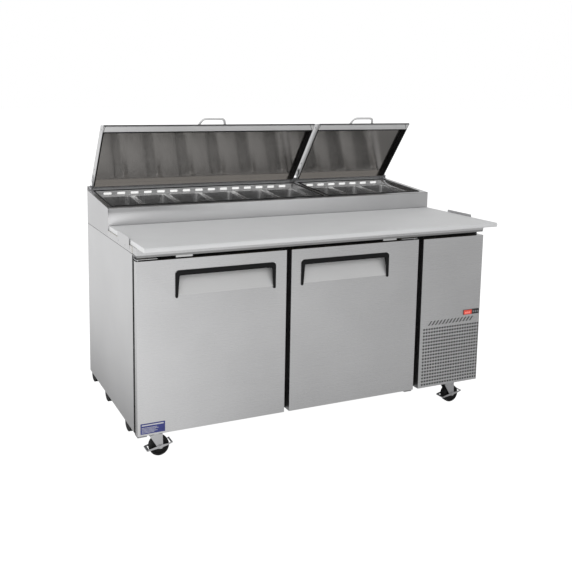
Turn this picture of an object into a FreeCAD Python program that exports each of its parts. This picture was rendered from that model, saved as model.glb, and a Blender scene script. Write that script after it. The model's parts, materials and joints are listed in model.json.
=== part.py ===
import FreeCAD, Part
import math
import os
import Sketcher

# Refrigerated sandwich prep table: an insulated two-door cabinet with its
# refrigeration unit behind a grille on the right, a raised sloping pan rail
# under two hinged lids, a full-width cutting board, and four casters.
# Millimetres. +Z up, the doors face -Y, the width runs along X, and the origin
# is on the floor at the centre of the bounding box.

Vector = FreeCAD.Vector
doc = FreeCAD.newDocument("prep_table")

DIMENSIONS = {
    "overall_width": 1702.0,
    "overall_depth": 945.0,
    "gauge": 1.2,
    "caster_height": 119.0,
    "door_top": 837.0,
    "seam_height": 860.0,
    "worktop_height": 889.0,
    "board_thickness": 19.5,
    "board_depth": 533.0,
    "board_width": 1693.0,
    "board_overhang": 97.0,
    "door_depth": 48.0,
    "door_thickness": 40.0,
    "left_door_end": -196.0,
    "right_door_start": -172.0,
    "right_door_end": 479.0,
    "grille_start": 507.0,
    "wall_thickness": 29.0,
    "mullion_left": -222.0,
    "mullion_right": -132.0,
    "bulkhead_left": 443.0,
    "bulkhead_right": 492.0,
    "compartment_floor": 158.0,
    "compartment_top": 820.0,
    "rail_front_height": 987.0,
    "rail_slope": 4.9,
    "rail_length": 402.5,
    "well_front": 34.0,
    "well_rear": 363.0,
    "ledge_depth": 26.0,
    "ledge_width": 9.0,
    "left_well_start": -822.0,
    "left_well_end": 237.0,
    "right_well_start": 279.0,
    "right_well_end": 810.0,
    "pan_pitch": 176.0,
    "pan_length": 325.0,
    "pan_depth": 150.0,
    "pan_wall": 1.0,
    "lid_length": 380.0,
    "lid_flange": 37.0,
    "lid_thickness": 46.5,
    "lid_open_angle": 57.7,
    "lid_pivot_along": 381.5,
    "lid_pivot_above": 10.0,
    "left_lid_start": -830.0,
    "left_lid_end": 245.0,
    "right_lid_start": 271.5,
    "right_lid_end": 818.0,
    "pin_radius": 4.0,
    "running_gap": 0.05,
    "recess_depth": 35.0,
    "recess_bottom": 679.0,
    "recess_top": 790.0,
    "recess_width": 444.0,
    "left_recess_start": -691.0,
    "right_recess_start": -126.0,
    "wheel_radius": 42.5,
    "wheel_width": 32.0,
    "caster_trail": 16.0,
    "left_caster_x": -759.0,
    "right_caster_x": 729.0,
    "front_caster_y": -308.5,
    "rear_caster_y": 379.5,
    "hole_pitch": 15.0,
    "hole_size": 8.8,
}

sheet = doc.addObject("Spreadsheet::Sheet", "dims")
for row, (alias, number) in enumerate(DIMENSIONS.items(), start=1):
    sheet.set(f"A{row}", alias)
    sheet.set(f"B{row}", str(number))
    sheet.setAlias(f"B{row}", alias)
doc.recompute()


class Size:
    """A length that carries its value and the sheet expression that gives it."""

    def __init__(self, value, text):
        self.value = float(value)
        self.text = text

    def __add__(self, other):
        other = as_size(other)
        return Size(self.value + other.value, f"({self.text} + {other.text})")

    def __sub__(self, other):
        other = as_size(other)
        return Size(self.value - other.value, f"({self.text} - {other.text})")

    def __mul__(self, other):
        other = as_size(other)
        return Size(self.value * other.value, f"({self.text} * {other.text})")

    def __truediv__(self, other):
        other = as_size(other)
        return Size(self.value / other.value, f"({self.text} / {other.text})")

    def __neg__(self):
        return Size(-self.value, f"(0 - {self.text})")

    def __radd__(self, other):
        return as_size(other) + self

    def __rsub__(self, other):
        return as_size(other) - self

    def __rmul__(self, other):
        return as_size(other) * self


def as_size(number):
    if isinstance(number, Size):
        return number
    return Size(number, f"({float(number):.6f})")


def dim(alias):
    return Size(sheet.get(alias), f"dims.{alias}")


def cosine(angle):
    return Size(math.cos(math.radians(angle.value)), f"cos({angle.text} * 1 deg)")


def sine(angle):
    return Size(math.sin(math.radians(angle.value)), f"sin({angle.text} * 1 deg)")


# ---------------------------------------------------------------- helpers

nodes = []
names_used = {}


def add(kind, name):
    names_used[name] = names_used.get(name, 0) + 1
    item = doc.addObject(kind, f"{name}_{names_used[name]}")
    return item


def bind(item, path, size):
    item.setExpression(path, as_size(size).text)


def bind_base(item, x, y, z):
    for letter, size in zip("xyz", (x, y, z)):
        bind(item, f"Placement.Base.{letter}", size)


def block(name, x, y, z):
    """A box from (low, high) pairs along each axis."""
    box = add("Part::Box", name)
    for path, (low, high) in zip(("Length", "Width", "Height"), (x, y, z)):
        bind(box, path, as_size(high) - low)
    bind_base(box, x[0], y[0], z[0])
    return box


AXIS_TURNS = {
    "x": FreeCAD.Rotation(Vector(0, 1, 0), 90),
    "y": FreeCAD.Rotation(Vector(1, 0, 0), -90),
    "z": FreeCAD.Rotation(),
}


def rod(name, axis, start, length, radius):
    """A cylinder from its start point along a positive axis."""
    cylinder = add("Part::Cylinder", name)
    cylinder.Placement = FreeCAD.Placement(Vector(), AXIS_TURNS[axis])
    bind(cylinder, "Height", length)
    bind(cylinder, "Radius", radius)
    bind_base(cylinder, *start)
    return cylinder


def cut(name, base, *tools):
    result = add("Part::Cut", name)
    result.Base = base
    result.Tool = tools[0] if len(tools) == 1 else fuse(name + "_tools", *tools)
    return result


def fuse(name, *items):
    result = add("Part::MultiFuse", name)
    result.Shapes = list(items)
    return result


def group(name, *items):
    result = add("Part::Compound", name)
    result.Links = list(items)
    return result


PLANES = {"YZ": "YZ_Plane", "XZ": "XZ_Plane", "XY": "XY_Plane"}


def prism(name, plane, outline, low, high):
    """A PartDesign pad of a straight-sided outline, from low to high along its normal."""
    body = add("PartDesign::Body", name)
    sketch = body.newObject("Sketcher::SketchObject", f"{body.Name}_sketch")
    origin_plane = [p for p in body.Origin.OriginFeatures if p.Role == PLANES[plane]][0]
    sketch.AttachmentSupport = (origin_plane, [""])
    sketch.MapMode = "FlatFace"
    points = [(as_size(across), as_size(up)) for across, up in outline]
    count = len(points)
    for number in range(count):
        here = points[number]
        there = points[(number + 1) % count]
        start = Vector(here[0].value, here[1].value, 0)
        end = Vector(there[0].value, there[1].value, 0)
        sketch.addGeometry(Part.LineSegment(start, end), False)
    for number in range(count):
        sketch.addConstraint(Sketcher.Constraint("Coincident", number, 2, (number + 1) % count, 1))
    for number, (across, up) in enumerate(points):
        for kind, size in (("DistanceX", across), ("DistanceY", up)):
            place = sketch.addConstraint(Sketcher.Constraint(kind, -1, 1, number, 1, size.value))
            sketch.setExpression(f"Constraints[{place}]", size.text)
    pad = body.newObject("PartDesign::Pad", f"{body.Name}_pad")
    pad.Profile = sketch
    bind(pad, "Length", as_size(high) - low)
    if plane == "YZ":
        bind(body, "Placement.Base.x", low)
    elif plane == "XZ":
        bind(body, "Placement.Base.y", high)
    else:
        bind(body, "Placement.Base.z", low)
    return body


def ring(name, x, y, z, wall, hollow_axis):
    """A rectangular tube with one wall thickness, open along the hollow axis."""
    inner = []
    for letter, (low, high) in zip("xyz", (x, y, z)):
        if letter == hollow_axis:
            inner.append((low - as_size(1), high + as_size(1)))
        else:
            inner.append((low + as_size(wall), high - as_size(wall)))
    return cut(name, block(name + "_outer", x, y, z), block(name + "_inner", *inner))


def node(label, item):
    item.Label = label
    nodes.append(item)
    return item


# ------------------------------------------------------- main positions

half_width = dim("overall_width") / 2
front = -(dim("overall_depth") / 2)
rear = dim("overall_depth") / 2
gauge = dim("gauge")
door_front = front + dim("board_overhang")
body_front = door_front + dim("door_depth")
rail_front = front + dim("board_depth") + 6
bumper = as_size(5)
body_rear = rear - bumper
base = dim("caster_height")
seam = dim("seam_height")
worktop_top = dim("worktop_height")
rail_height = dim("rail_front_height")
slope = dim("rail_slope")
inner_left = -half_width + dim("wall_thickness")
inner_right = half_width - dim("wall_thickness")
liner_rear = body_rear - 37
floor = dim("compartment_floor")
ceiling = dim("compartment_top")
bulkhead = dim("bulkhead_left")
machine_left = dim("bulkhead_right")
skin_rear = body_rear - gauge
panel_inner = half_width - gauge
frame_rear = body_front + 12
sheet_metal = as_size(1)


def slope_height(y):
    """Height of the sloping rail top above a place along Y."""
    return rail_height + (y - rail_front) * sine(slope) / cosine(slope)


# --------------------------------------------------------- outer cabinet

side_sheets = [
    block("side", (low, high), (body_front, body_rear), (base, seam - 1.8))
    for low, high in ((-half_width, -panel_inner), (panel_inner, half_width))
]
node("side_panels", group("side_panels", *side_sheets))

inlet_x = half_width - 130
inlet_z = base + 60
inlet_radius = as_size(13)
back_height = (base, slope_height(body_rear) - 4)
back_sheet = block("back", (-panel_inner, panel_inner), (skin_rear, body_rear), back_height)
back_vents = [
    block(
        "back_vent",
        (machine_left + 70, half_width - 90),
        (skin_rear - 1, body_rear + 1),
        (base + 90 + 22 * index, base + 98 + 22 * index),
    )
    for index in range(12)
]
hole_radius = inlet_radius + 0.1
inlet_hole = rod("inlet_hole", "y", (inlet_x, body_rear - 20, inlet_z), as_size(30), hole_radius)
node("back_panel", cut("back_panel", back_sheet, inlet_hole, *back_vents))

bottom_sheet = block("bottom", (-panel_inner, panel_inner), (body_front, skin_rear), (base, base + gauge))
node("bottom_pan", bottom_sheet)

rear_bumpers = [
    block("rear_bumper", (x - 20, x + 20), (body_rear, rear), (z - 20, z + 20))
    for x in (-(half_width - 60), half_width - 60)
    for z in (base + 60, seam - 60)
]

# ---------------------------------------------------- insulation and liner

well_floor = ceiling - 23
rail_liner_front = rail_front + 32
worktop_under = worktop_top - gauge
foam_left = inner_left - sheet_metal
foam_right = inner_right + sheet_metal
liner_front = frame_rear
foam_bottom = base + gauge
well_back = body_rear - 13
end_foam_outline = [
    (rail_front + gauge, worktop_top),
    (skin_rear, worktop_top),
    (skin_rear, slope_height(skin_rear) - 6),
    (rail_front + gauge, slope_height(rail_front + gauge) - 6),
]
duct_floor = well_floor - 38
whole_depth = (liner_front, skin_rear)
rail_wall = (rail_front + gauge, rail_liner_front - sheet_metal)
cold_depth = (liner_front, liner_rear + sheet_metal)
rear_depth = (liner_rear + sheet_metal, skin_rear)
cold_width = (foam_left, machine_left)
well_width = (foam_left, foam_right)
machine_width = (machine_left, foam_right)
bulkhead_width = (bulkhead + sheet_metal, machine_left)
insulation = [
    block("foam", (-panel_inner, foam_left), whole_depth, (foam_bottom, worktop_under)),
    prism("foam_end", "YZ", end_foam_outline, -panel_inner, foam_left),
    prism("foam_end", "YZ", end_foam_outline, foam_right, panel_inner),
    block("foam", (foam_right, panel_inner), (rail_front + gauge, skin_rear), (duct_floor, worktop_under)),
    block("foam", well_width, (well_back + sheet_metal, skin_rear), (ceiling, slope_height(well_back) - 6)),
    block("foam", cold_width, rear_depth, (foam_bottom, ceiling - sheet_metal)),
    block("foam", machine_width, rear_depth, (duct_floor, ceiling - sheet_metal)),
    block("foam", cold_width, cold_depth, (foam_bottom, floor - sheet_metal)),
    block("foam", bulkhead_width, cold_depth, (floor - sheet_metal, well_floor - sheet_metal)),
    block(
        "foam",
        bulkhead_width,
        (liner_front, rail_wall[1]),
        (well_floor - sheet_metal, ceiling + sheet_metal),
    ),
    block(
        "foam",
        (foam_left, panel_inner),
        (liner_front, rail_front + gauge),
        (ceiling + sheet_metal, worktop_under),
    ),
    block("foam", well_width, rail_wall, (ceiling + sheet_metal, rail_height - 6)),
    block("foam", machine_width, (rail_wall[0], cold_depth[1]), (duct_floor, well_floor - sheet_metal)),
    block("foam", machine_width, rail_wall, (well_floor - sheet_metal, ceiling + sheet_metal)),
]
node("wall_insulation", group("wall_insulation", *insulation))

well_wall_top = slope_height(rail_liner_front) - 34
well_depth = (rail_liner_front, well_back)
low_depth = (rail_liner_front, liner_rear)
left_sheet = (foam_left, inner_left)
right_sheet = (inner_right, foam_right)
bulkhead_sheet = (bulkhead, bulkhead + sheet_metal)
rear_sheet = (liner_rear, liner_rear + sheet_metal)
front_sheet = (rail_liner_front - sheet_metal, rail_liner_front)
over_machine = (bulkhead + sheet_metal, inner_right)
liner = [
    block("liner", left_sheet, (liner_front, liner_rear), (floor, ceiling)),
    block("liner", left_sheet, well_depth, (ceiling, well_wall_top)),
    block("liner", right_sheet, low_depth, (well_floor, ceiling)),
    block("liner", right_sheet, well_depth, (ceiling, well_wall_top)),
    block("liner", bulkhead_sheet, (liner_front, liner_rear), (floor, well_floor)),
    block("liner", bulkhead_sheet, (liner_front, front_sheet[0]), (well_floor, ceiling)),
    block("liner", (foam_left, bulkhead_sheet[1]), rear_sheet, (floor, ceiling - sheet_metal)),
    block("liner", (bulkhead_sheet[1], foam_right), rear_sheet, (well_floor, ceiling - sheet_metal)),
    block("liner", well_width, (liner_rear, well_back), (ceiling - sheet_metal, ceiling)),
    block("liner", well_width, (well_back, well_back + sheet_metal), (ceiling, well_wall_top)),
    block("liner", (foam_left, bulkhead_sheet[1]), cold_depth, (floor - sheet_metal, floor)),
    block(
        "liner",
        (foam_left, bulkhead_sheet[1]),
        (liner_front, front_sheet[0]),
        (ceiling, ceiling + sheet_metal),
    ),
    block("liner", (inner_left, inner_right), front_sheet, (ceiling, well_wall_top)),
    block("liner", over_machine, front_sheet, (well_floor, ceiling)),
    block("liner", over_machine, low_depth, (well_floor - sheet_metal, well_floor)),
]
node("liner_panels", group("liner_panels", *liner))

frame_depth = (body_front, frame_rear)
mullion = (dim("mullion_left"), dim("mullion_right"))
frame_bars = [
    block("bar", (-panel_inner, panel_inner), frame_depth, (ceiling + 1, seam - 2)),
    block("bar", (-panel_inner, panel_inner), frame_depth, (base + gauge, floor)),
    block("bar", (-panel_inner, inner_left), frame_depth, (floor, ceiling + 1)),
    block("bar", mullion, frame_depth, (floor, ceiling + 1)),
    block("bar", (bulkhead, machine_left + 8), frame_depth, (floor, ceiling + 1)),
]
node("door_frame", group("door_frame", *frame_bars))

# ------------------------------------------------------ worktop and board

top_half = panel_inner - 0.3
worktop_outer = block("worktop", (-top_half, top_half), (door_front, rail_front), (seam, worktop_top))
worktop_inner = block(
    "worktop_inner",
    (-top_half + gauge, top_half - gauge),
    (door_front + gauge, rail_front + 1),
    (seam - 1, worktop_under),
)
# The side flanges stop at the seam on top of the side panels, so only a shallow
# lip hangs in front of the cabinet; behind it the top foam fills the pan.
worktop_relief = block(
    "worktop_relief",
    (-half_width, half_width),
    (frame_rear, rail_front + 1),
    (seam - 1, worktop_under),
)
end_flanges = [
    block("end_flange", (low, high), (frame_rear, rail_front), (seam, worktop_under))
    for low, high in ((-half_width, -panel_inner), (panel_inner, half_width))
]
worktop_sheet = cut("worktop", worktop_outer, worktop_inner, worktop_relief)
node("worktop", group("worktop", worktop_sheet, *end_flanges))

board_half = dim("board_width") / 2
board_box = block(
    "board",
    (-board_half, board_half),
    (front, front + dim("board_depth")),
    (worktop_top, worktop_top + dim("board_thickness")),
)
doc.recompute()
front_edges = []
for number, edge in enumerate(board_box.Shape.Edges, start=1):
    middle = edge.CenterOfMass
    if abs(middle.y - front.value) < 0.01 and abs(middle.x) < 1:
        front_edges.append((number, 7.0, 7.0))
board = add("Part::Fillet", "board_rounded")
board.Base = board_box
board.Edges = front_edges
node("cutting_board", board)

tab_front = body_front + 47
tab_rear = body_front + 225
tabs = [
    block("board_tab", (low, high), (tab_front, tab_rear), (worktop_under - 17, worktop_top + 30))
    for low, high in ((-half_width - 1.6, -half_width), (half_width, half_width + 1.6))
]
supports = [
    block("board_support", (x, x + 71), (door_front + 6, body_front), (ceiling + 22, seam))
    for x in (as_size(-686), as_size(290))
]
node("board_brackets", group("board_brackets", *tabs, *supports))

# --------------------------------------------------------------- pan rail

rail_front_sheet = block(
    "rail_front",
    (-panel_inner, panel_inner),
    (rail_front, rail_front + gauge),
    (worktop_top, rail_height - 2),
)
end_outline = [
    (rail_front, seam),
    (body_rear, seam),
    (body_rear, slope_height(body_rear) - 2),
    (rail_front, rail_height - 2),
]
rail_left_end = prism("rail_end", "YZ", end_outline, -half_width, -panel_inner)
rail_right_end = prism("rail_end", "YZ", end_outline, panel_inner, half_width)
node("rail_panels", group("rail_panels", rail_front_sheet, rail_left_end, rail_right_end))


def tilted(name, *items):
    """Group items drawn along the rail top: Y runs up the slope, Z stands off it."""
    result = group(name, *items)
    result.Placement = FreeCAD.Placement(Vector(), FreeCAD.Rotation(Vector(1, 0, 0), slope.value))
    bind_base(result, 0, rail_front, rail_height)
    result.setExpression("Placement.Rotation.Angle", f"{slope.text} * 1 deg")
    return result


well_front = dim("well_front")
well_rear = dim("well_rear")
wells = [
    (dim("left_well_start"), dim("left_well_end")),
    (dim("right_well_start"), dim("right_well_end")),
]
rail_length = dim("rail_length")
rail_plate = block("rail_plate", (-half_width, half_width), (0, rail_length), (-gauge, 0))
plate_holes = [block("well_hole", well, (well_front, well_rear), (-10, 10)) for well in wells]
upstand = block("rail_upstand", (-half_width, half_width), (rail_length - 5, rail_length), (-gauge, 18))
rail_cover = fuse("rail_cover", cut("rail_plate_cut", rail_plate, *plate_holes), upstand)
node("rail_top_frame", tilted("rail_top_frame", rail_cover))

ledge_depth = dim("ledge_depth")
ledge_width = dim("ledge_width")
rims = []
for well in wells:
    left, right = well
    wall = block("rim", well, (well_front, well_rear), (-ledge_depth - gauge, -gauge))
    upper = block(
        "rim_upper",
        (left + gauge, right - gauge),
        (well_front + gauge, well_rear - gauge),
        (-ledge_depth, 1),
    )
    lower = block(
        "rim_lower",
        (left + ledge_width, right - ledge_width),
        (well_front + ledge_width, well_rear - ledge_width),
        (-ledge_depth - 5, 1),
    )
    slot_pitch = 67.0
    slot_count = int((right.value - left.value - 30) / slot_pitch)
    first = (left.value + right.value - (slot_count - 1) * slot_pitch) / 2
    slots = [
        block(
            "rim_slot",
            (first + index * slot_pitch - 20, first + index * slot_pitch + 20),
            (well_rear - 5, well_rear + 5),
            (-17, -10),
        )
        for index in range(slot_count)
    ]
    rims.append(cut("rim_cut", wall, upper, lower, *slots))
gasket_height = as_size(3)
gaskets = [
    ring(
        "rail_seal",
        (left - 7, right + 7),
        (well_front - 7, well_rear + 7),
        (0, gasket_height),
        4,
        "z",
    )
    for left, right in wells
]
node("rail_gaskets", tilted("rail_gaskets", *gaskets))

pan_pitch = dim("pan_pitch")
pan_wall = dim("pan_wall")
pan_depth = dim("pan_depth")
pan_front = well_front + 2
pan_rear = pan_front + dim("pan_length")
pan_top = -ledge_depth + pan_wall


def wedge(name, x, y, z, taper):
    """A box that narrows downwards by the taper on every side; z is (low, high)."""
    item = add("Part::Wedge", name)
    item.Placement = FreeCAD.Placement(Vector(), FreeCAD.Rotation(Vector(1, 0, 0), 90))
    sizes = {
        "Xmin": as_size(taper),
        "Xmax": x[1] - x[0] - taper,
        "X2min": as_size(0),
        "X2max": x[1] - x[0],
        "Ymin": as_size(0),
        "Ymax": z[1] - z[0],
        "Zmin": as_size(taper),
        "Zmax": y[1] - y[0] - taper,
        "Z2min": as_size(0),
        "Z2max": y[1] - y[0],
    }
    for path, size in sizes.items():
        bind(item, path, size)
    bind_base(item, x[0], y[1], z[0])
    return item


def pan(number, start):
    """One third-size food pan, hung by its flange, tapered and open at the top."""
    x = (start + 0.5, start + pan_pitch - 0.5)
    y = (pan_front, pan_rear)
    flange = block("pan_flange", x, y, (pan_top - pan_wall, pan_top))
    inset = as_size(12)
    hull_x = (x[0] + inset, x[1] - inset)
    hull_y = (y[0] + inset, y[1] - inset)
    outer = wedge("pan_outer", hull_x, hull_y, (pan_top - pan_depth, pan_top), 8)
    hollow_x = (hull_x[0] + pan_wall, hull_x[1] - pan_wall)
    hollow_y = (hull_y[0] + pan_wall, hull_y[1] - pan_wall)
    hollow = wedge("pan_hollow", hollow_x, hollow_y, (pan_top - pan_depth + pan_wall, pan_top + 1), 8)
    return cut(f"pan_{number}", fuse("pan_solid", flange, outer), hollow)


left_first = dim("left_well_start") + 1.5
right_first = dim("right_well_start") + 1.5
left_pans = [pan(index + 1, left_first + pan_pitch * index) for index in range(6)]
right_pans = [pan(index + 7, right_first + pan_pitch * index) for index in range(3)]
node("left_pans", tilted("left_pans", *left_pans))
node("right_pans", tilted("right_pans", *right_pans))

bar_places = [left_first + pan_pitch * index for index in range(1, 6)]
bar_places += [right_first + pan_pitch * index for index in range(1, 3)]
bars = [
    block(
        "pan_bar",
        (place - 6, place + 6),
        (well_front + ledge_width, well_rear - ledge_width),
        (-ledge_depth - 9, -ledge_depth),
    )
    for place in bar_places
]
node("well_rim", tilted("well_rim", *rims, *bars))

# ------------------------------------------------------------------- lids

pivot_along = dim("lid_pivot_along")
pivot_above = dim("lid_pivot_above")
pivot_y = rail_front + pivot_along * cosine(slope) - pivot_above * sine(slope)
pivot_z = rail_height + pivot_along * sine(slope) + pivot_above * cosine(slope)
lid_turn = slope - dim("lid_open_angle")
closed_gap = 1.5
lid_low = gasket_height + closed_gap - pivot_above
lid_high = lid_low + dim("lid_thickness")
recess_front = well_front - 7 - pivot_along
lid_front = recess_front - dim("lid_flange")
lid_rear = lid_front + dim("lid_length")
lid_crest = lid_front + 33.5
liner_recess = as_size(25)
lip_width = as_size(7)
arm_thickness = as_size(4)


def on_lid(name, item):
    """Place an item drawn about the lid's hinge line, lid flat along -Y, at the open angle."""
    result = group(name, item)
    result.Placement = FreeCAD.Placement(Vector(), FreeCAD.Rotation(Vector(1, 0, 0), lid_turn.value))
    bind_base(result, 0, pivot_y, pivot_z)
    result.setExpression("Placement.Rotation.Angle", f"{lid_turn.text} * 1 deg")
    return result


def bent_rod(name, points, radius, bend):
    """A round rod along straight runs joined by arcs of one bend radius."""
    edges = []
    last = points[0]
    for here, corner, there in zip(points, points[1:], points[2:]):
        into = (corner - here).normalize()
        out = (there - corner).normalize()
        start = corner - into * bend
        end = corner + out * bend
        middle = corner + (out - into).normalize() * (bend * (math.sqrt(2) - 1))
        edges.append(Part.LineSegment(last, start).toShape())
        edges.append(Part.Arc(start, middle, end).toShape())
        last = end
    edges.append(Part.LineSegment(last, points[-1]).toShape())
    path = Part.Wire(edges)
    start_circle = Part.Circle(points[0], (points[1] - points[0]).normalize(), radius)
    profile = Part.Wire([start_circle.toShape()])
    item = add("Part::Feature", name)
    item.Shape = path.makePipeShell([profile], True, False)
    return item


pin_radius = dim("pin_radius")
running_gap = dim("running_gap")


def lid(side, start, end):
    tray_outline = [
        (lid_rear, lid_low),
        (lid_front, lid_low),
        (lid_front, lid_low + 6),
        (lid_crest, lid_high),
        (lid_rear, lid_high),
    ]
    hollow_outline = [
        (lid_rear - gauge, lid_low - 1),
        (recess_front, lid_low - 1),
        (recess_front, lid_low + gauge),
        (lid_front + gauge, lid_low + gauge),
        (lid_front + gauge, lid_low + 5.6),
        (lid_crest + 0.6, lid_high - gauge),
        (lid_rear - gauge, lid_high - gauge),
    ]
    tray = prism("lid", "YZ", tray_outline, start, end)
    hollow = prism("lid_hollow", "YZ", hollow_outline, start + gauge, end - gauge)
    shell = cut("lid_shell", tray, hollow)
    pins = [
        rod("lid_pin", "x", (start - 13, 0, 0), as_size(13), pin_radius),
        rod("lid_pin", "x", (end, 0, 0), as_size(13), pin_radius),
    ]
    arm_outline = [
        (as_size(-6), as_size(-7)),
        (as_size(6), as_size(-7)),
        (as_size(9), as_size(2)),
        (as_size(-46), as_size(26)),
        (as_size(-66), as_size(27)),
        (as_size(-66), as_size(15)),
    ]
    arms = [
        prism("lid_arm", "YZ", arm_outline, start - arm_thickness, start),
        prism("lid_arm", "YZ", arm_outline, end, end + arm_thickness),
    ]
    node(f"{side}_lid_shell", on_lid(f"{side}_lid_shell", fuse("lid_hinged", shell, *pins, *arms)))
    inner_x = (start + 1.3, end - 1.3)
    inner_y = (recess_front + 0.1, lid_rear - 1.3)
    lip = ring("lid_lip", inner_x, inner_y, (lid_low, lid_low + 1), lip_width, "z")
    wall_x = (inner_x[0] + lip_width - 1, inner_x[1] - lip_width + 1)
    wall_y = (inner_y[0] + lip_width - 1, inner_y[1] - lip_width + 1)
    wall = ring("lid_wall", wall_x, wall_y, (lid_low, lid_low + liner_recess), 1, "z")
    sheet_z = (lid_low + liner_recess - 1, lid_low + liner_recess)
    liner_panel = fuse("lid_panel", lip, wall, block("lid_sheet", wall_x, wall_y, sheet_z))
    node(f"{side}_lid_liner", on_lid(f"{side}_lid_liner", liner_panel))
    middle = (start.value + end.value) / 2
    half_grip = 64.0
    grip_height = lid_high.value - 9
    edge = lid_crest.value
    reach = edge - lid_front.value + 9.5
    loop = [
        Vector(middle - half_grip, edge, grip_height),
        Vector(middle - half_grip, edge - reach, grip_height),
        Vector(middle + half_grip, edge - reach, grip_height),
        Vector(middle + half_grip, edge, grip_height),
    ]
    grip = cut("lid_grip", bent_rod("handle", loop, 4.5, 14), tray)
    node(f"{side}_lid_handle", on_lid(f"{side}_lid_handle", grip))


lid("left", dim("left_lid_start"), dim("left_lid_end"))
lid("right", dim("right_lid_start"), dim("right_lid_end"))

ears = []
ear_spans = [
    (dim("left_lid_start") - 14, dim("left_lid_start") - 6),
    (dim("left_lid_end") + 5, dim("left_lid_end") + 13),
    (dim("right_lid_start") - 13, dim("right_lid_start") - 5),
    (dim("right_lid_end") + 6, dim("right_lid_end") + 14),
]
for span in ear_spans:
    ear = block("lid_ear", span, (pivot_along - 11, pivot_along + 11), (0, pivot_above + 9))
    bore = rod(
        "lid_ear_bore",
        "x",
        (span[0] - 1, pivot_along, pivot_above),
        span[1] - span[0] + 2,
        pin_radius + running_gap,
    )
    ears.append(cut("lid_ear_bored", ear, bore))
node("lid_hinge_brackets", tilted("lid_hinge_brackets", *ears))

# ------------------------------------------------------------------ doors

door_rear = door_front + dim("door_thickness")
door_bottom = base + 2
door_top = dim("door_top")
recess_back = door_front + dim("recess_depth")
recess_bottom = dim("recess_bottom")
recess_top = dim("recess_top")
pin_y = door_front + 20
pin_inset = as_size(12)
bush_radius = as_size(9)
bush_depth = as_size(22)
pin_gap_top = as_size(4)


def door(side, start, end, recess_start, pin_x):
    x = (start, end)
    z = (door_bottom, door_top)
    recess_x = (recess_start, recess_start + dim("recess_width"))
    tray = block("door", x, (door_front, door_rear), z)
    hollow_x = (start + gauge, end - gauge)
    hollow_z = (door_bottom + gauge, door_top - gauge)
    hollow = block("door_hollow", hollow_x, (door_front + gauge, door_rear + 1), hollow_z)
    pocket_outline = [
        (door_front, recess_bottom - gauge * 2),
        (recess_back + gauge, recess_top - 18),
        (recess_back + gauge, recess_top + gauge),
        (door_front, recess_top + gauge),
    ]
    void_outline = [
        (door_front - 5, recess_bottom - 13),
        (door_front, recess_bottom),
        (recess_back, recess_top - 18),
        (recess_back, recess_top),
        (door_front - 5, recess_top),
    ]
    pocket_x = (recess_x[0] - gauge, recess_x[1] + gauge)
    pocket = prism("door_pocket", "YZ", pocket_outline, *pocket_x)
    void = prism("door_void", "YZ", void_outline, *recess_x)
    bores = [
        rod("bush_bore", "z", (pin_x, pin_y, low), bush_depth + 1, pin_radius + running_gap)
        for low in (door_top - bush_depth + 1, door_bottom - 2)
    ]
    bushes = [
        rod("bush", "z", (pin_x, pin_y, low), bush_depth, bush_radius)
        for low in (door_top - bush_depth, door_bottom)
    ]
    formed = fuse("door_formed", cut("door_tray", tray, hollow), pocket, *bushes)
    node(f"{side}_door_skin", cut("door_skin", formed, void, *bores))

    core_box = block("door_core", hollow_x, (door_front + gauge, door_rear - gauge), hollow_z)
    core_pocket = prism("core_pocket", "YZ", pocket_outline, *pocket_x)
    core_holes = [
        rod("core_hole", "z", (pin_x, pin_y, door_top - bush_depth), bush_depth, bush_radius),
        rod("core_hole", "z", (pin_x, pin_y, door_bottom), bush_depth, bush_radius),
    ]
    node(f"{side}_door_core", cut("door_core_cut", core_box, core_pocket, *core_holes))

    liner_sheet = block("door_liner", hollow_x, (door_rear - gauge, door_rear), hollow_z)
    dish = block(
        "door_dish",
        (start + 60, end - 60),
        (door_rear, door_rear + 5),
        (door_bottom + 60, door_top - 60),
    )
    node(f"{side}_door_liner", fuse("door_liner_formed", liner_sheet, dish))

    seal = ring(
        "door_seal",
        (start + 20, end - 20),
        (door_rear, body_front - 0.5),
        (door_bottom + 20, door_top - 3),
        14,
        "y",
    )
    node(f"{side}_door_gasket", seal)

    bar = block("pull_bar", recess_x, (door_front - 3, door_front + 7), (recess_top - 17, recess_top))
    leg_width = as_size(12)
    pull_outline = [
        (door_front - 3, recess_bottom),
        (door_front, recess_bottom),
        (recess_back, recess_top - 18),
        (recess_back, recess_top - 0.05),
        (door_front - 3, recess_top - 0.05),
    ]
    left_cheek = prism("pull_cheek", "YZ", pull_outline, recess_x[0], recess_x[0] + 3)
    right_cheek = prism("pull_cheek", "YZ", pull_outline, recess_x[1] - 3, recess_x[1])
    left_leg = block(
        "pull_leg",
        (recess_x[0], recess_x[0] + leg_width),
        (door_front - 3, door_front),
        (recess_bottom - 1, recess_top - 1),
    )
    right_leg = block(
        "pull_leg",
        (recess_x[1] - leg_width, recess_x[1]),
        (door_front - 3, door_front),
        (recess_bottom - 1, recess_top - 1),
    )
    pull = fuse("pull", bar, left_cheek, right_cheek, left_leg, right_leg)
    node(f"{side}_door_handle", pull)


left_pin_x = -half_width + pin_inset
right_pin_x = dim("right_door_end") - pin_inset
door("left", -half_width, dim("left_door_end"), dim("left_recess_start"), left_pin_x)
door("right", dim("right_door_start"), dim("right_door_end"), dim("right_recess_start"), right_pin_x)


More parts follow.
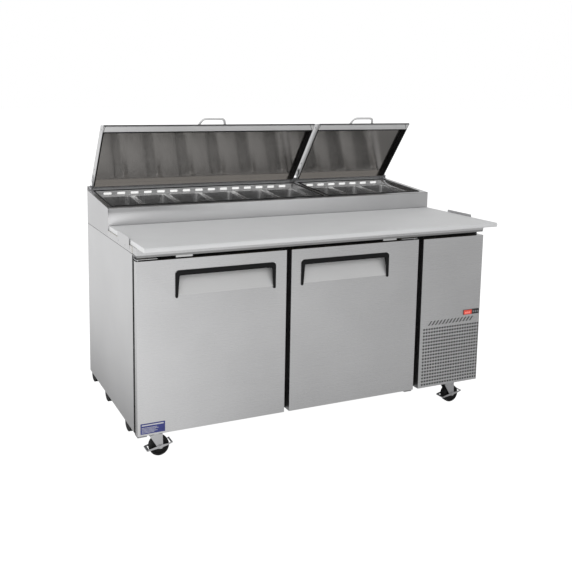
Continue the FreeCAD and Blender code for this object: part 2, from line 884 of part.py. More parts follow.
def hinge_plate(pin_x, inward, upper):
    """A flat hinge plate fixed to the cabinet, with the pin that the door turns on."""
    reach = as_size(78 if upper else 30) * inward
    edge = pin_x - as_size(10) * inward
    span = (edge, pin_x + reach) if inward > 0 else (pin_x + reach, edge)
    if upper:
        plate_z = (door_top + pin_gap_top, door_top + pin_gap_top + 3)
        pin_start = door_top - bush_depth + 3
        leg_z = (plate_z[0], plate_z[1] + 13)
    else:
        plate_z = (base - 7, base - 4)
        pin_start = base - 4
        leg_z = (plate_z[0], base)
    plate = block("hinge_plate", span, (door_front + 8, body_front), plate_z)
    leg = block("hinge_leg", span, (body_front - 3, body_front), leg_z)
    pin_length = (plate_z[0] - pin_start) if upper else (door_bottom + bush_depth - 3 - pin_start)
    pin = rod("hinge_pin", "z", (pin_x, pin_y, pin_start), pin_length, pin_radius)
    if upper:
        return fuse("hinge", plate, leg, pin)
    foot = block("hinge_foot", span, (body_front - 3, body_front + 40), (base - 3, base))
    return fuse("hinge", plate, leg, pin, foot)


hinges = [
    hinge_plate(left_pin_x, 1, True),
    hinge_plate(left_pin_x, 1, False),
    hinge_plate(right_pin_x, -1, True),
    hinge_plate(right_pin_x, -1, False),
]
node("door_hinge_brackets", group("door_hinge_brackets", *hinges))

# ------------------------------------------------- grille and controller

grille_left = dim("grille_start")
hole_pitch = dim("hole_pitch").value
hole_size = dim("hole_size").value
HOLE_COLUMNS = 22
HOLE_ROWS = 18
SLOT_COUNT = 13
grille_top = door_top - 2


def rectangle_wire(x, z, width, height, lean=0.0):
    """A rectangle in the XZ plane, optionally leaning along X towards its top."""
    corners = [
        Vector(x - width / 2, 0, z - height / 2),
        Vector(x + width / 2, 0, z - height / 2),
        Vector(x + width / 2 + lean, 0, z + height / 2),
        Vector(x - width / 2 + lean, 0, z + height / 2),
    ]
    return Part.makePolygon(corners + corners[:1])


first_column = grille_left.value + 23
first_row = base.value + 17
controller_x = (753.0, 845.0)
controller_z = (453.0, 477.0)


def grille_face():
    width = half_width.value - grille_left.value
    height = (grille_top - door_bottom).value
    centre_x = (half_width + grille_left).value / 2
    centre_z = (grille_top + door_bottom).value / 2
    face = Part.Face(rectangle_wire(centre_x, centre_z, width, height))
    holes = []
    for column in range(HOLE_COLUMNS):
        for row in range(HOLE_ROWS):
            x = first_column + column * hole_pitch
            z = first_row + row * (hole_pitch + 0.75)
            holes.append(rectangle_wire(x, z, hole_size, hole_size))
    for index in range(SLOT_COUNT):
        x = grille_left.value + 47 + 20 * index
        holes.append(rectangle_wire(x, 431.5, 7.0, 21, 17))
    centre = (controller_x[0] + controller_x[1]) / 2, (controller_z[0] + controller_z[1]) / 2
    size = controller_x[1] - controller_x[0] - 4, controller_z[1] - controller_z[0] - 4
    holes.append(rectangle_wire(*centre, *size))
    return face.cut([Part.Face(hole) for hole in holes]).Faces[0]


grille_sheet = add("Part::Feature", "grille_sheet")
grille_sheet.Shape = grille_face().extrude(Vector(0, gauge.value, 0))
bind(grille_sheet, "Placement.Base.y", door_front)
grille_returns = ring(
    "grille_return",
    (grille_left, half_width),
    (door_front + gauge, body_front),
    (door_bottom, grille_top),
    gauge,
    "y",
)
node("grille_panel", fuse("grille_panel", grille_sheet, grille_returns))

housing = block(
    "controller",
    (controller_x[0] + 2.5, controller_x[1] - 2.5),
    (door_front - 0.5, door_front + 34),
    (controller_z[0] + 2.5, controller_z[1] - 2.5),
)
bezel = block("controller_bezel", controller_x, (door_front - 3, door_front), controller_z)
button_size = (7.0, 8.0)
button_z = (controller_z[0] + 8, controller_z[0] + 16)
button_places = [808.0, 821.0, 834.0]
button_holes = [
    block(
        "button_hole",
        (x - 0.3, x + button_size[0] + 0.3),
        (door_front - 4, door_front + 4),
        (button_z[0] - 0.3, button_z[1] + 0.3),
    )
    for x in button_places
]
node("controller", cut("controller_cut", fuse("controller_body", housing, bezel), *button_holes))
for label, x in zip(("set_button", "down_button", "up_button"), button_places):
    cap = block(label, (x, x + button_size[0]), (door_front - 4.5, door_front + 2.5), button_z)
    node(label, cap)

# ------------------------------------------------------ refrigeration unit

tray_sheet = block(
    "unit_tray",
    (machine_left + 12, half_width - 8),
    (frame_rear + 6, skin_rear - 6),
    (foam_bottom, foam_bottom + 2),
)
node("unit_base", tray_sheet)

fan_x = as_size(672)
fan_z = as_size(290)
coil_y = (frame_rear + 10, frame_rear + 54)
shroud_y = (coil_y[1], coil_y[1] + 34)
coil_x = (machine_left + 24, half_width - 20)
coil_z = (foam_bottom + 2, foam_bottom + 322)
coil = block("coil", coil_x, coil_y, coil_z)
shroud = block("shroud", coil_x, shroud_y, coil_z)
shroud_hole = rod("shroud_hole", "y", (fan_x, shroud_y[0] - 1, fan_z), as_size(40), 118)
motor = rod("motor", "y", (fan_x, shroud_y[1] + 6, fan_z), as_size(58), 34)
shaft = rod("motor_shaft", "y", (fan_x, shroud_y[0] + 4, fan_z), as_size(40), pin_radius)
stays = [
    block(
        "motor_stay",
        (fan_x - 130, fan_x + 130),
        (shroud_y[1], shroud_y[1] + 10),
        (fan_z + offset - 6, fan_z + offset + 6),
    )
    for offset in (-24, 24)
]
shroud_open = cut("shroud_cut", shroud, shroud_hole)
node("condenser", fuse("condenser", coil, shroud_open, motor, shaft, *stays))

BLADE_CHORD = 24


def fan(name, axis, centre, blade_radius, depth, blade_count):
    """A hub bored for its shaft, with flat blades set at a pitch round it."""
    x, y, z = centre
    hub = rod("fan_hub", axis, centre, depth, 26)
    reach = blade_radius.value
    blades = []
    for index in range(blade_count):
        blade = add("Part::Box", f"{name}_blade")
        blade.Length = reach - 20
        blade.Width = 2
        blade.Height = BLADE_CHORD
        local = FreeCAD.Placement(Vector(20, -1, -BLADE_CHORD / 2), FreeCAD.Rotation())
        pitch = FreeCAD.Placement(Vector(), FreeCAD.Rotation(Vector(1, 0, 0), 62))
        step = FreeCAD.Rotation(Vector(0, 1, 0), 360 / blade_count * index)
        around = FreeCAD.Placement(Vector(), step)
        if axis == "x":
            turn = FreeCAD.Placement(Vector(), FreeCAD.Rotation(Vector(0, 0, 1), -90))
            middle = Vector(x.value + depth.value / 2, y.value, z.value)
        else:
            turn = FreeCAD.Placement()
            middle = Vector(x.value, y.value + depth.value / 2, z.value)
        blade.Placement = FreeCAD.Placement(middle, FreeCAD.Rotation()) * turn * around * pitch * local
        blades.append(blade)
    start = (x - 5, y, z) if axis == "x" else (x, y - 5, z)
    bore = rod("fan_bore", axis, start, depth + 10, pin_radius + running_gap)
    node(name, cut(f"{name}_bored", fuse(f"{name}_solid", hub, *blades), bore))


fan("condenser_fan", "y", (fan_x, shroud_y[0] + 2, fan_z), as_size(110), as_size(22), 5)

compressor_x = as_size(690)
compressor_y = as_size(167.5)
compressor_low = foam_bottom + 2
can = rod("can", "z", (compressor_x, compressor_y, compressor_low + 22), as_size(150), 82)
cap = add("Part::Sphere", "can_cap")
bind(cap, "Radius", 82)
bind_base(cap, compressor_x, compressor_y, compressor_low + 150)
foot_plate = block(
    "compressor_foot",
    (compressor_x - 95, compressor_x + 95),
    (compressor_y - 70, compressor_y + 70),
    (compressor_low + 18, compressor_low + 22),
)
compressor_feet = [
    rod("grommet", "z", (compressor_x + dx, compressor_y + dy, compressor_low), as_size(18), 10)
    for dx in (-84, 84)
    for dy in (-58, 58)
]
terminal_box = block(
    "terminal_box",
    (compressor_x - 30, compressor_x + 30),
    (compressor_y - 104, compressor_y - 70),
    (compressor_low + 70, compressor_low + 140),
)
node("compressor", fuse("compressor", can, cap, foot_plate, terminal_box, *compressor_feet))

evaporator_x = (bulkhead - 68, bulkhead)
evaporator_y = (as_size(-72.5), as_size(227.5))
evaporator_z = (as_size(560), as_size(780))
evaporator_box = block("evaporator", evaporator_x, evaporator_y, evaporator_z)
evap_fan_y = as_size(77.5)
evap_fan_z = as_size(670)
evap_mouth = rod("evap_mouth", "x", (evaporator_x[0] - 1, evap_fan_y, evap_fan_z), as_size(31), 82)
evap_shaft = rod("evap_shaft", "x", (evaporator_x[0] + 4, evap_fan_y, evap_fan_z), as_size(40), pin_radius)
node("evaporator", fuse("evaporator", cut("evaporator_cut", evaporator_box, evap_mouth), evap_shaft))
fan("evaporator_fan", "x", (evaporator_x[0] + 6, evap_fan_y, evap_fan_z), as_size(74), as_size(18), 5)

inlet_ring = rod("inlet", "y", (inlet_x, body_rear - 14, inlet_z), as_size(16.5), inlet_radius)
inlet_bore = rod("inlet_bore", "y", (inlet_x, body_rear - 20, inlet_z), as_size(30), 5)
node("power_inlet", cut("power_inlet", inlet_ring, inlet_bore))

# ------------------------------------------------------ shelves inside

shelf_spans = [
    (inner_left + 6, dim("mullion_left") + 30),
    (dim("mullion_right") - 30, bulkhead - 6),
]
shelf_y = (frame_rear + 14, liner_rear - 12)
shelf_heights = (as_size(330), as_size(520))
WIRE = 4.0
wires_per_shelf = 15
shelves = []
for span in shelf_spans:
    for height in shelf_heights:
        pieces = [
            ring("shelf_rim", span, shelf_y, (height, height + 7), 7, "z"),
            block("shelf_beam", span, (as_size(42), as_size(49)), (height, height + 5)),
        ]
        gap = (span[1] - span[0]) / (wires_per_shelf + 1)
        wire_y = (shelf_y[0] + 3, shelf_y[1] - 3)
        wire_z = (height + 5, height + 9)
        for index in range(1, wires_per_shelf + 1):
            x = span[0] + gap * index
            pieces.append(block("shelf_wire", (x - WIRE / 2, x + WIRE / 2), wire_y, wire_z))
        shelves.append(fuse("shelf", *pieces))
node("shelves", group("shelves", *shelves))

clips = []
for span in shelf_spans:
    for height in shelf_heights:
        for x, y in ((span[0], shelf_y[0] + 60), (span[0], shelf_y[1] - 60)):
            clips.append(block("shelf_clip", (x - 5.9, x + 9), (y - 8, y + 8), (height - 8, height)))
        for x, y in ((span[1], shelf_y[0] + 60), (span[1], shelf_y[1] - 60)):
            clips.append(block("shelf_clip", (x - 9, x + 6), (y - 8, y + 8), (height - 8, height)))
posts = [
    block("shelf_post", (shelf_spans[0][1] + 6, shelf_spans[1][0] - 6), (y - 10, y + 10), (floor, ceiling))
    for y in (as_size(-241), as_size(71))
]
rear_post = block(
    "shelf_post",
    (shelf_spans[0][1] + 6, shelf_spans[1][0] - 6),
    (shelf_y[1] - 70, shelf_y[1] - 50),
    (floor, shelf_heights[1] + 20),
)
node("shelf_supports", group("shelf_supports", *clips, *posts, rear_post))

# ---------------------------------------------------------------- casters

wheel_radius = dim("wheel_radius")
wheel_half = dim("wheel_width") / 2
trail = dim("caster_trail")
plate_top = base
race_top = base - 3
fork_top = base - 16
axle_radius = as_size(5)
king_radius = as_size(6)
caster_spots = {
    "front_left": (dim("left_caster_x"), dim("front_caster_y")),
    "front_right": (dim("right_caster_x"), dim("front_caster_y")),
    "rear_left": (dim("left_caster_x"), dim("rear_caster_y")),
    "rear_right": (dim("right_caster_x"), dim("rear_caster_y")),
}
LEG_NEAR = 3
LEG_FAR = 6


def brake_lever(name, wheel_x, y):
    """A rocker on the axle: two side arms joined by a tread at each end, past the wheel."""
    arms = []
    for low, high in ((-wheel_half - 9, -wheel_half - 6.5), (wheel_half + 6.5, wheel_half + 9)):
        outline = [
            (wheel_x - 54, wheel_radius - 12),
            (wheel_x + 10, wheel_radius - 9),
            (wheel_x + 54, wheel_radius + 10),
            (wheel_x + 54, wheel_radius + 16),
            (wheel_x - 4, wheel_radius + 9),
            (wheel_x - 54, wheel_radius - 5),
        ]
        arms.append(prism("brake_arm", "XZ", outline, y + low, y + high))
    across = (y - wheel_half - 9, y + wheel_half + 9)
    treads = [
        block("brake_tread", (wheel_x - 58, wheel_x - 46), across, (wheel_radius - 12, wheel_radius - 5)),
        block("brake_tread", (wheel_x + 46, wheel_x + 54), across, (wheel_radius + 10, wheel_radius + 16)),
    ]
    bore = rod(
        "brake_bore",
        "y",
        (wheel_x, y - wheel_half - 12, wheel_radius),
        wheel_half * 2 + 24,
        axle_radius + running_gap,
    )
    node(name, cut("brake_bored", fuse("brake", *arms, *treads), bore))


plates = []
for spot, (x, y) in caster_spots.items():
    plate = block("caster_plate", (x - 46, x + 46), (y - 33, y + 33), (race_top, plate_top))
    race = rod("caster_race", "z", (x, y, fork_top + 0.4), race_top - fork_top - 0.4, 24)
    king = rod("caster_king", "z", (x, y, fork_top - 10), as_size(14), king_radius)
    plates.append(fuse("caster_top", plate, race, king))

    wheel_x = x + trail
    fork_disc = rod("fork_disc", "z", (x, y, fork_top - 6), as_size(6), 24)
    legs = []
    near = wheel_half + LEG_NEAR
    far = wheel_half + LEG_FAR
    for low, high in ((-far, -near), (near, far)):
        outline = [
            (x - 26, fork_top),
            (x - 26, fork_top - 10),
            (wheel_x - 9, wheel_radius - 9),
            (wheel_x + 9, wheel_radius - 9),
            (x + 28, fork_top - 14),
            (x + 28, fork_top),
        ]
        legs.append(prism("fork_leg", "XZ", outline, y + low, y + high))
    crown = block("fork_crown", (x - 26, x + 28), (y - far, y + far), (fork_top - 6, fork_top))
    axle = rod("axle", "y", (wheel_x, y - wheel_half - 10, wheel_radius), wheel_half * 2 + 20, axle_radius)
    king_bore = rod("king_bore", "z", (x, y, fork_top - 20), as_size(30), king_radius + running_gap)
    node(f"{spot}_fork", cut("fork", fuse("fork_solid", fork_disc, crown, axle, *legs), king_bore))

    tyre = rod("wheel", "y", (wheel_x, y - wheel_half, wheel_radius), wheel_half * 2, wheel_radius)
    bore_start = (wheel_x, y - wheel_half - 1, wheel_radius)
    bore = rod("wheel_bore", "y", bore_start, wheel_half * 2 + 2, axle_radius + running_gap)
    node(f"{spot}_wheel", cut("wheel_bored", tyre, bore))
    if spot.startswith("front"):
        brake_lever(f"{spot}_brake", wheel_x, y)
node("caster_plates", group("caster_plates", *plates))

pads = [
    block("base_pad", (x - 16, x + 16), (y - 38, y + 38), (base - 38, base))
    for x in (-half_width + 20, half_width - 20)
    for y in (-210, 140, 408)
]
node("rubber_pads", group("rubber_pads", *pads, *rear_bumpers))

# ------------------------------------------------------- check and export

doc.recompute()
for item in doc.Objects:
    if "Invalid" in item.State or "Error" in item.State:
        raise RuntimeError(f"{item.Label} failed to build: {item.State}")
labels = [item.Label for item in nodes]
if len(labels) != len(set(labels)) or len(labels) > 60:
    raise RuntimeError(f"{len(labels)} nodes, of which {len(set(labels))} have their own name")
os.makedirs("parts", exist_ok=True)
for item in nodes:
    shape = item.Shape
    if shape.isNull() or not shape.isValid() or not shape.Solids:
        raise RuntimeError(f"{item.Label} has no valid solid")
    shape.exportStep(f"parts/{item.Label}.step")
    box = shape.BoundBox
    lows = f"{box.XMin:.1f} {box.YMin:.1f} {box.ZMin:.1f}"
    highs = f"{box.XMax:.1f} {box.YMax:.1f} {box.ZMax:.1f}"
    litres = shape.Volume / 1e6
    print(f"{item.Label:24s} {len(shape.Solids):3d} solids {litres:8.3f} l, {lows} to {highs}")
print(len(nodes), "nodes")
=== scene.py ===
import json
import math

import bmesh
import bpy
from mathutils import Matrix, Vector


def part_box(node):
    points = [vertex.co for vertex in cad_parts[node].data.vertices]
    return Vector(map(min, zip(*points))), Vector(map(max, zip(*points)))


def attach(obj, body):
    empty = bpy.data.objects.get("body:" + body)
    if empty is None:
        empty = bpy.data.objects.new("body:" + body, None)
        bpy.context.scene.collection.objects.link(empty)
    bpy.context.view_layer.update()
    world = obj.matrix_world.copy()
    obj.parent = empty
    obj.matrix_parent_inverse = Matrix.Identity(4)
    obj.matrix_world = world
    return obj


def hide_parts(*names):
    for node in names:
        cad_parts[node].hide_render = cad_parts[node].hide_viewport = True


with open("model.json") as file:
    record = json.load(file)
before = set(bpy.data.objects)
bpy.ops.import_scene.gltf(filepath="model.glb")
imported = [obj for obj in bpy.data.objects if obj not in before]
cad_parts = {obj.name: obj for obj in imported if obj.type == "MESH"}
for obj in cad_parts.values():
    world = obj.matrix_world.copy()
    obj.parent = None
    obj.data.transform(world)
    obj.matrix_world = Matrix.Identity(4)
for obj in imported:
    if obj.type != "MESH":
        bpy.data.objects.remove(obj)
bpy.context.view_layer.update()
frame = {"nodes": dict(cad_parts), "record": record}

# Visual model of a sandwich prep table: most CAD shapes welded and bevelled, and the lids, pans,
# door pulls, hinge supports, base blocks and casters drawn anew as finer meshes.
# Pieces are drawn in millimetres in the part's frame and scaled to metres last.
MM = 0.001
JOINTS = {joint["name"]: joint for joint in frame["record"]["behaviour"]["joints"]}
SLOPE = math.radians(4.9)
LID_OPEN = math.radians(57.7)


def box(node):
    """Lowest and highest corner of a CAD node, in millimetres."""
    low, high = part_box(node)
    return low / MM, high / MM


def hinge(name):
    """A joint's place in millimetres."""
    return Vector(JOINTS[name]["pos_m"]) / MM


# ------------------------------------------------------------- materials


class Shader:
    """Small helper that builds a Principled material node by node."""

    def __init__(self, name, color, metallic=0.0, roughness=0.5, **sockets):
        self.material = bpy.data.materials.new(name)
        self.material.use_nodes = True
        self.tree = self.material.node_tree
        self.surface = self.tree.nodes["Principled BSDF"]
        self.put("Base Color", (*color, 1.0))
        self.put("Metallic", metallic)
        self.put("Roughness", roughness)
        for socket, value in sockets.items():
            self.put(socket.replace("_", " "), value)
        self.place = None

    def put(self, socket, value):
        self.surface.inputs[socket].default_value = value

    def node(self, kind, **settings):
        item = self.tree.nodes.new(kind)
        for key, value in settings.items():
            if key in item.inputs:
                item.inputs[key].default_value = value
            else:
                setattr(item, key, value)
        return item

    def link(self, source, target):
        self.tree.links.new(source, target)

    def coordinates(self):
        if self.place is None:
            self.place = self.node("ShaderNodeTexCoord").outputs["Object"]
        return self.place

    def noise(self, scale, stretch=(1, 1, 1), detail=3.0, rough=0.55):
        """Noise over object space, stretched by axis."""
        mapping = self.node("ShaderNodeMapping")
        mapping.inputs["Scale"].default_value = stretch
        self.link(self.coordinates(), mapping.inputs["Vector"])
        noise = self.node("ShaderNodeTexNoise", Scale=scale, Detail=detail, Roughness=rough)
        self.link(mapping.outputs["Vector"], noise.inputs["Vector"])
        return noise.outputs["Fac"]

    def spread(self, source, low, high, start=0.3, end=0.7):
        """Map a source in (start, end) to (low, high)."""
        item = self.node("ShaderNodeMapRange")
        for key, value in (("From Min", start), ("From Max", end), ("To Min", low), ("To Max", high)):
            item.inputs[key].default_value = value
        self.link(source, item.inputs["Value"])
        return item.outputs["Result"]

    def tint(self, source, dark, light, start=0.3, end=0.7):
        """Base colour between two colours, driven by a source."""
        mix = self.node("ShaderNodeMix", data_type="RGBA")
        self.link(self.spread(source, 0.0, 1.0, start, end), mix.inputs["Factor"])
        color_inputs = [i for i in mix.inputs if i.type == "RGBA"]
        color_inputs[0].default_value = (*dark, 1.0)
        color_inputs[1].default_value = (*light, 1.0)
        color = [o for o in mix.outputs if o.type == "RGBA"][0]
        self.link(color, self.surface.inputs["Base Color"])

    def combine(self, operation, first, second):
        """Result of a math node fed by two sources."""
        item = self.node("ShaderNodeMath", operation=operation)
        self.link(first, item.inputs[0])
        self.link(second, item.inputs[1])
        return item.outputs[0]

    def rough(self, source, low, high):
        """Roughness between two values, driven by a source."""
        self.link(self.spread(source, low, high), self.surface.inputs["Roughness"])

    def bump(self, source, distance, strength=1.0):
        """Fine relief from a source, its depth in metres."""
        item = self.node("ShaderNodeBump", Strength=strength, Distance=distance)
        self.link(source, item.inputs["Height"])
        self.link(item.outputs["Normal"], self.surface.inputs["Normal"])


GRAIN = {"x": (1.0, 240.0, 240.0), "y": (240.0, 1.0, 240.0), "z": (240.0, 240.0, 1.0)}
STREAK_SHARE = 0.7


def brushed_steel(name, color, roughness, grain, contrast=0.05, metal=1.0):
    """Stainless sheet: fine streaks along the grain, faint clouding and handling marks."""
    shader = Shader(name, color, metallic=metal, roughness=roughness)
    streaks = shader.noise(5.0, GRAIN[grain], detail=4.0)
    clouds = shader.noise(3.2, detail=2.0)
    both = shader.node("ShaderNodeMath", operation="MULTIPLY_ADD")
    shader.link(streaks, both.inputs[0])
    both.inputs[1].default_value = STREAK_SHARE
    shader.link(clouds, both.inputs[2])
    darker = tuple(c * (1 - contrast) for c in color)
    lighter = tuple(min(1.0, c * (1 + contrast)) for c in color)
    shader.tint(both.outputs[0], darker, lighter, 0.55, 1.15)
    shader.rough(streaks, roughness - 0.05, roughness + 0.06)
    shader.bump(streaks, 0.00002, 0.35)
    return shader.material


def plastic(name, color, roughness, grain_scale=900.0, depth=0.00004, clear=0.0, shine=0.5):
    """Moulded plastic with a fine spark-eroded texture."""
    shader = Shader(name, color, roughness=roughness, Coat_Weight=clear, Specular_IOR_Level=shine)
    texture = shader.noise(grain_scale, detail=2.0)
    clouds = shader.noise(9.0, detail=2.0)
    shader.rough(clouds, roughness - 0.03, roughness + 0.04)
    shader.tint(clouds, tuple(c * 0.98 for c in color), tuple(min(1.0, c * 1.02) for c in color))
    shader.bump(texture, depth, 0.5)
    return shader.material


def plated(name, color, roughness):
    """Zinc or chrome plating with slight blotches."""
    shader = Shader(name, color, metallic=1.0, roughness=roughness)
    blotches = shader.noise(60.0, detail=3.0)
    shader.rough(blotches, roughness * 0.88, roughness * 1.16)
    shader.tint(blotches, tuple(c * 0.96 for c in color), color)
    return shader.material


STEEL = (0.60, 0.60, 0.605)
MATERIALS = {
    "front": brushed_steel("brushed_front", STEEL, 0.29, "x"),
    "rail": brushed_steel("brushed_rail", STEEL, 0.44, "x"),
    # Brighter, less metallic copy of the steel: painted light on the lids' flanges and grips.
    "lip": brushed_steel("lit_lip_steel", (0.80, 0.80, 0.80), 0.50, "x", metal=0.25),
    # Darker, less metallic copy of the steel: painted shade for the worktop's fold under the board.
    "shaded_fold": brushed_steel("shaded_fold_steel", (0.30, 0.30, 0.30), 0.50, "x", metal=0.4),
    # Brighter, less metallic copy of the steel: painted light on the slopes in the door pulls and on the
    # wells' air covers.
    "lit_steel": brushed_steel("lit_matte_steel", (0.72, 0.72, 0.72), 0.45, "x", metal=0.45),
    "side": brushed_steel("brushed_side", (0.63, 0.63, 0.635), 0.36, "y"),
    "mirror": brushed_steel("bright_annealed", (0.52, 0.50, 0.48), 0.16, "x", contrast=0.03),
    "pan": brushed_steel("pan_steel", (0.62, 0.62, 0.62), 0.24, "y"),
    "liner": brushed_steel("liner_aluminium", (0.66, 0.67, 0.68), 0.42, "z"),
    "galvanised": plated("galvanised", (0.50, 0.52, 0.54), 0.42),
    "zinc": plated("zinc_plate", (0.56, 0.56, 0.57), 0.30),
    "chrome": plated("chrome", (0.66, 0.66, 0.67), 0.12),
    "board": plastic("cutting_board_white", (0.74, 0.745, 0.75), 0.50, 500.0, 0.00008),
    "black": plastic("black_moulding", (0.006, 0.006, 0.0065), 0.50, shine=0.18),
    "gloss": plastic("black_gloss", (0.010, 0.010, 0.011), 0.18, clear=0.6),
    "rubber": plastic("black_rubber", (0.010, 0.010, 0.011), 0.65, 300.0, 0.00010, shine=0.25),
    "tyre": plastic("tyre_rubber", (0.007, 0.007, 0.007), 0.58, 250.0, 0.00012, shine=0.25),
    "foam": plastic("rigid_foam", (0.72, 0.62, 0.36), 0.85, 180.0, 0.0006),
    "paint": plastic("black_paint", (0.018, 0.018, 0.020), 0.38, 120.0, 0.00008, clear=0.2),
    "wire": plastic("coated_wire", (0.70, 0.70, 0.69), 0.40),
    "key": plastic("key_grey", (0.30, 0.31, 0.32), 0.55),
}


def label_material():
    """Blue field of the generic care label."""
    shader = Shader("label_blue", (0.015, 0.025, 0.20), roughness=0.35, Coat_Weight=0.3)
    shader.tint(shader.noise(40.0), (0.012, 0.018, 0.17), (0.02, 0.035, 0.24))
    return shader.material


def display_material():
    """Red tinted display window, faintly lit."""
    shader = Shader("display_red", (0.55, 0.05, 0.03), roughness=0.15, Coat_Weight=0.7)
    shader.put("Emission Color", (0.8, 0.08, 0.04, 1.0))
    shader.put("Emission Strength", 0.35)
    shader.tint(shader.noise(90.0), (0.48, 0.04, 0.03), (0.62, 0.07, 0.05))
    return shader.material


def digits_material():
    """Lit digits of the display."""
    shader = Shader("display_digits", (0.9, 0.35, 0.30), roughness=0.3)
    shader.put("Emission Color", (1.0, 0.45, 0.40, 1.0))
    shader.put("Emission Strength", 0.55)
    shader.tint(shader.noise(200.0), (0.85, 0.32, 0.28), (0.95, 0.40, 0.34))
    return shader.material


def strip_material():
    """Bright translucent strip behind the air slots, glowing though it is no lamp: painted light."""
    shader = Shader("slot_glow_strip", (0.85, 0.85, 0.84), roughness=0.45)
    shader.put("Emission Color", (1.0, 1.0, 0.98, 1.0))
    shader.put("Emission Strength", 0.6)
    shader.tint(shader.noise(60.0), (0.80, 0.80, 0.79), (0.88, 0.88, 0.87))
    return shader.material


MATERIALS["digits"] = digits_material()
MATERIALS["slot_glow"] = strip_material()
# Near-black mat behind the grille: painted shade seen through the holes.
MATERIALS["grille_shade"] = plastic("grille_shade_black", (0.003, 0.003, 0.003), 0.9, 700.0, 0.0003, shine=0.03)
MATERIALS["label"] = label_material()
MATERIALS["display"] = display_material()
MATERIALS["vinyl"] = plastic("label_vinyl", (0.62, 0.62, 0.66), 0.4)

# ------------------------------------------------------- mesh helpers

BEND_STEPS = 8


def slab(bm, low, high):
    """Add a box between two corners and return its vertices."""
    made = bmesh.ops.create_cube(bm, size=1.0)["verts"]
    low, high = Vector(low), Vector(high)
    size, middle = high - low, (low + high) / 2
    for vertex in made:
        vertex.co = Vector(a * b for a, b in zip(vertex.co, size)) + middle
    return made


def plate(bm, points, shift):
    """Extrude a closed outline by a vector."""
    bottom = [bm.verts.new(p) for p in points]
    top = [bm.verts.new(Vector(p) + Vector(shift)) for p in points]
    count = len(points)
    bm.faces.new(bottom[::-1])
    bm.faces.new(top)
    for index in range(count):
        after = (index + 1) % count
        bm.faces.new((bottom[index], bottom[after], top[after], top[index]))
    return bottom + top


def lathe(bm, profile, centre, axis, steps=48):
    """Turn a closed (radius, height) profile about an axis letter through a centre."""
    turn = {"x": Matrix.Rotation(math.pi / 2, 3, "Y"), "y": Matrix.Rotation(-math.pi / 2, 3, "X"),
            "z": Matrix.Identity(3)}[axis]
    centre = Vector(centre)
    rings = []
    for step in range(steps):
        angle = 2 * math.pi * step / steps
        ring = [
            bm.verts.new(turn @ Vector((r * math.cos(angle), r * math.sin(angle), h)) + centre)
            for r, h in profile
        ]
        rings.append(ring)
    count = len(profile)
    for step in range(steps):
        here, there = rings[step], rings[(step + 1) % steps]
        for index in range(count):
            after = (index + 1) % count
            bm.faces.new((here[index], there[index], there[after], here[after]))


def disc(radius, start, end, edge=1.0, hole=0.0):
    """Closed profile of a disc or ring with softened rims, for lathe()."""
    inner = max(hole, 0.01)
    return [
        (inner, start), (radius - edge, start), (radius - edge * 0.3, start + edge * 0.3),
        (radius, start + edge), (radius, end - edge), (radius - edge * 0.3, end - edge * 0.3),
        (radius - edge, end), (inner, end),
    ]


def rounded_path(points, bend):
    """Straight runs joined by arcs of a bend radius."""
    points = [Vector(p) for p in points]
    path = [points[0]]
    for before, corner, after in zip(points, points[1:], points[2:]):
        into, out = (before - corner).normalized(), (after - corner).normalized()
        half = into.angle(out) / 2
        reach = bend / math.tan(half)
        start = corner + into * reach
        centre = corner + (into + out).normalized() * (bend / math.sin(half))
        normal = into.cross(out).normalized()
        sweep = math.pi - 2 * half
        for step in range(BEND_STEPS + 1):
            turn = Matrix.Rotation(-sweep * step / BEND_STEPS, 3, normal)
            path.append(centre + turn @ (start - centre))
    path.append(points[-1])
    return path


def tube(bm, points, radius, sides=16, flat=1.0, flat_axis=None):
    """A round or flattened rod along points, capped at both ends."""
    rings = []
    up = None
    for index, point in enumerate(points):
        before = points[max(index - 1, 0)]
        after = points[min(index + 1, len(points) - 1)]
        along = (after - before).normalized()
        if up is None:
            guess = Vector(flat_axis) if flat_axis else Vector((0.3, 0.5, 0.8))
            up = (guess - along * guess.dot(along)).normalized()
        else:
            up = (up - along * up.dot(along)).normalized()
        across = along.cross(up)
        rings.append([
            bm.verts.new(point + (up * math.cos(a) * flat + across * math.sin(a)) * radius)
            for a in (2 * math.pi * k / sides for k in range(sides))
        ])
    for here, there in zip(rings, rings[1:]):
        for k in range(sides):
            bm.faces.new((here[k], here[(k + 1) % sides], there[(k + 1) % sides], there[k]))
    bm.faces.new(rings[0][::-1])
    bm.faces.new(rings[-1])


def rounded_rectangle(x, y, radius, steps=5):
    """Points of a rectangle with round corners, counter-clockwise."""
    points = []
    corners = ((x[1] - radius, y[1] - radius, 0), (x[0] + radius, y[1] - radius, 1),
               (x[0] + radius, y[0] + radius, 2), (x[1] - radius, y[0] + radius, 3))
    for cx, cy, quarter in corners:
        for step in range(steps + 1):
            angle = math.pi / 2 * (quarter + step / steps)
            points.append((cx + radius * math.cos(angle), cy + radius * math.sin(angle)))
    return points


def soften(bm, width, segments=2, angle=30.0):
    """Bevel every edge sharper than an angle."""
    sharp = [e for e in bm.edges if len(e.link_faces) == 2 and e.calc_face_angle(0) > math.radians(angle)]
    bmesh.ops.bevel(bm, geom=sharp, offset=width, offset_type="OFFSET", segments=segments,
                    affect="EDGES", profile=0.5, clamp_overlap=True)


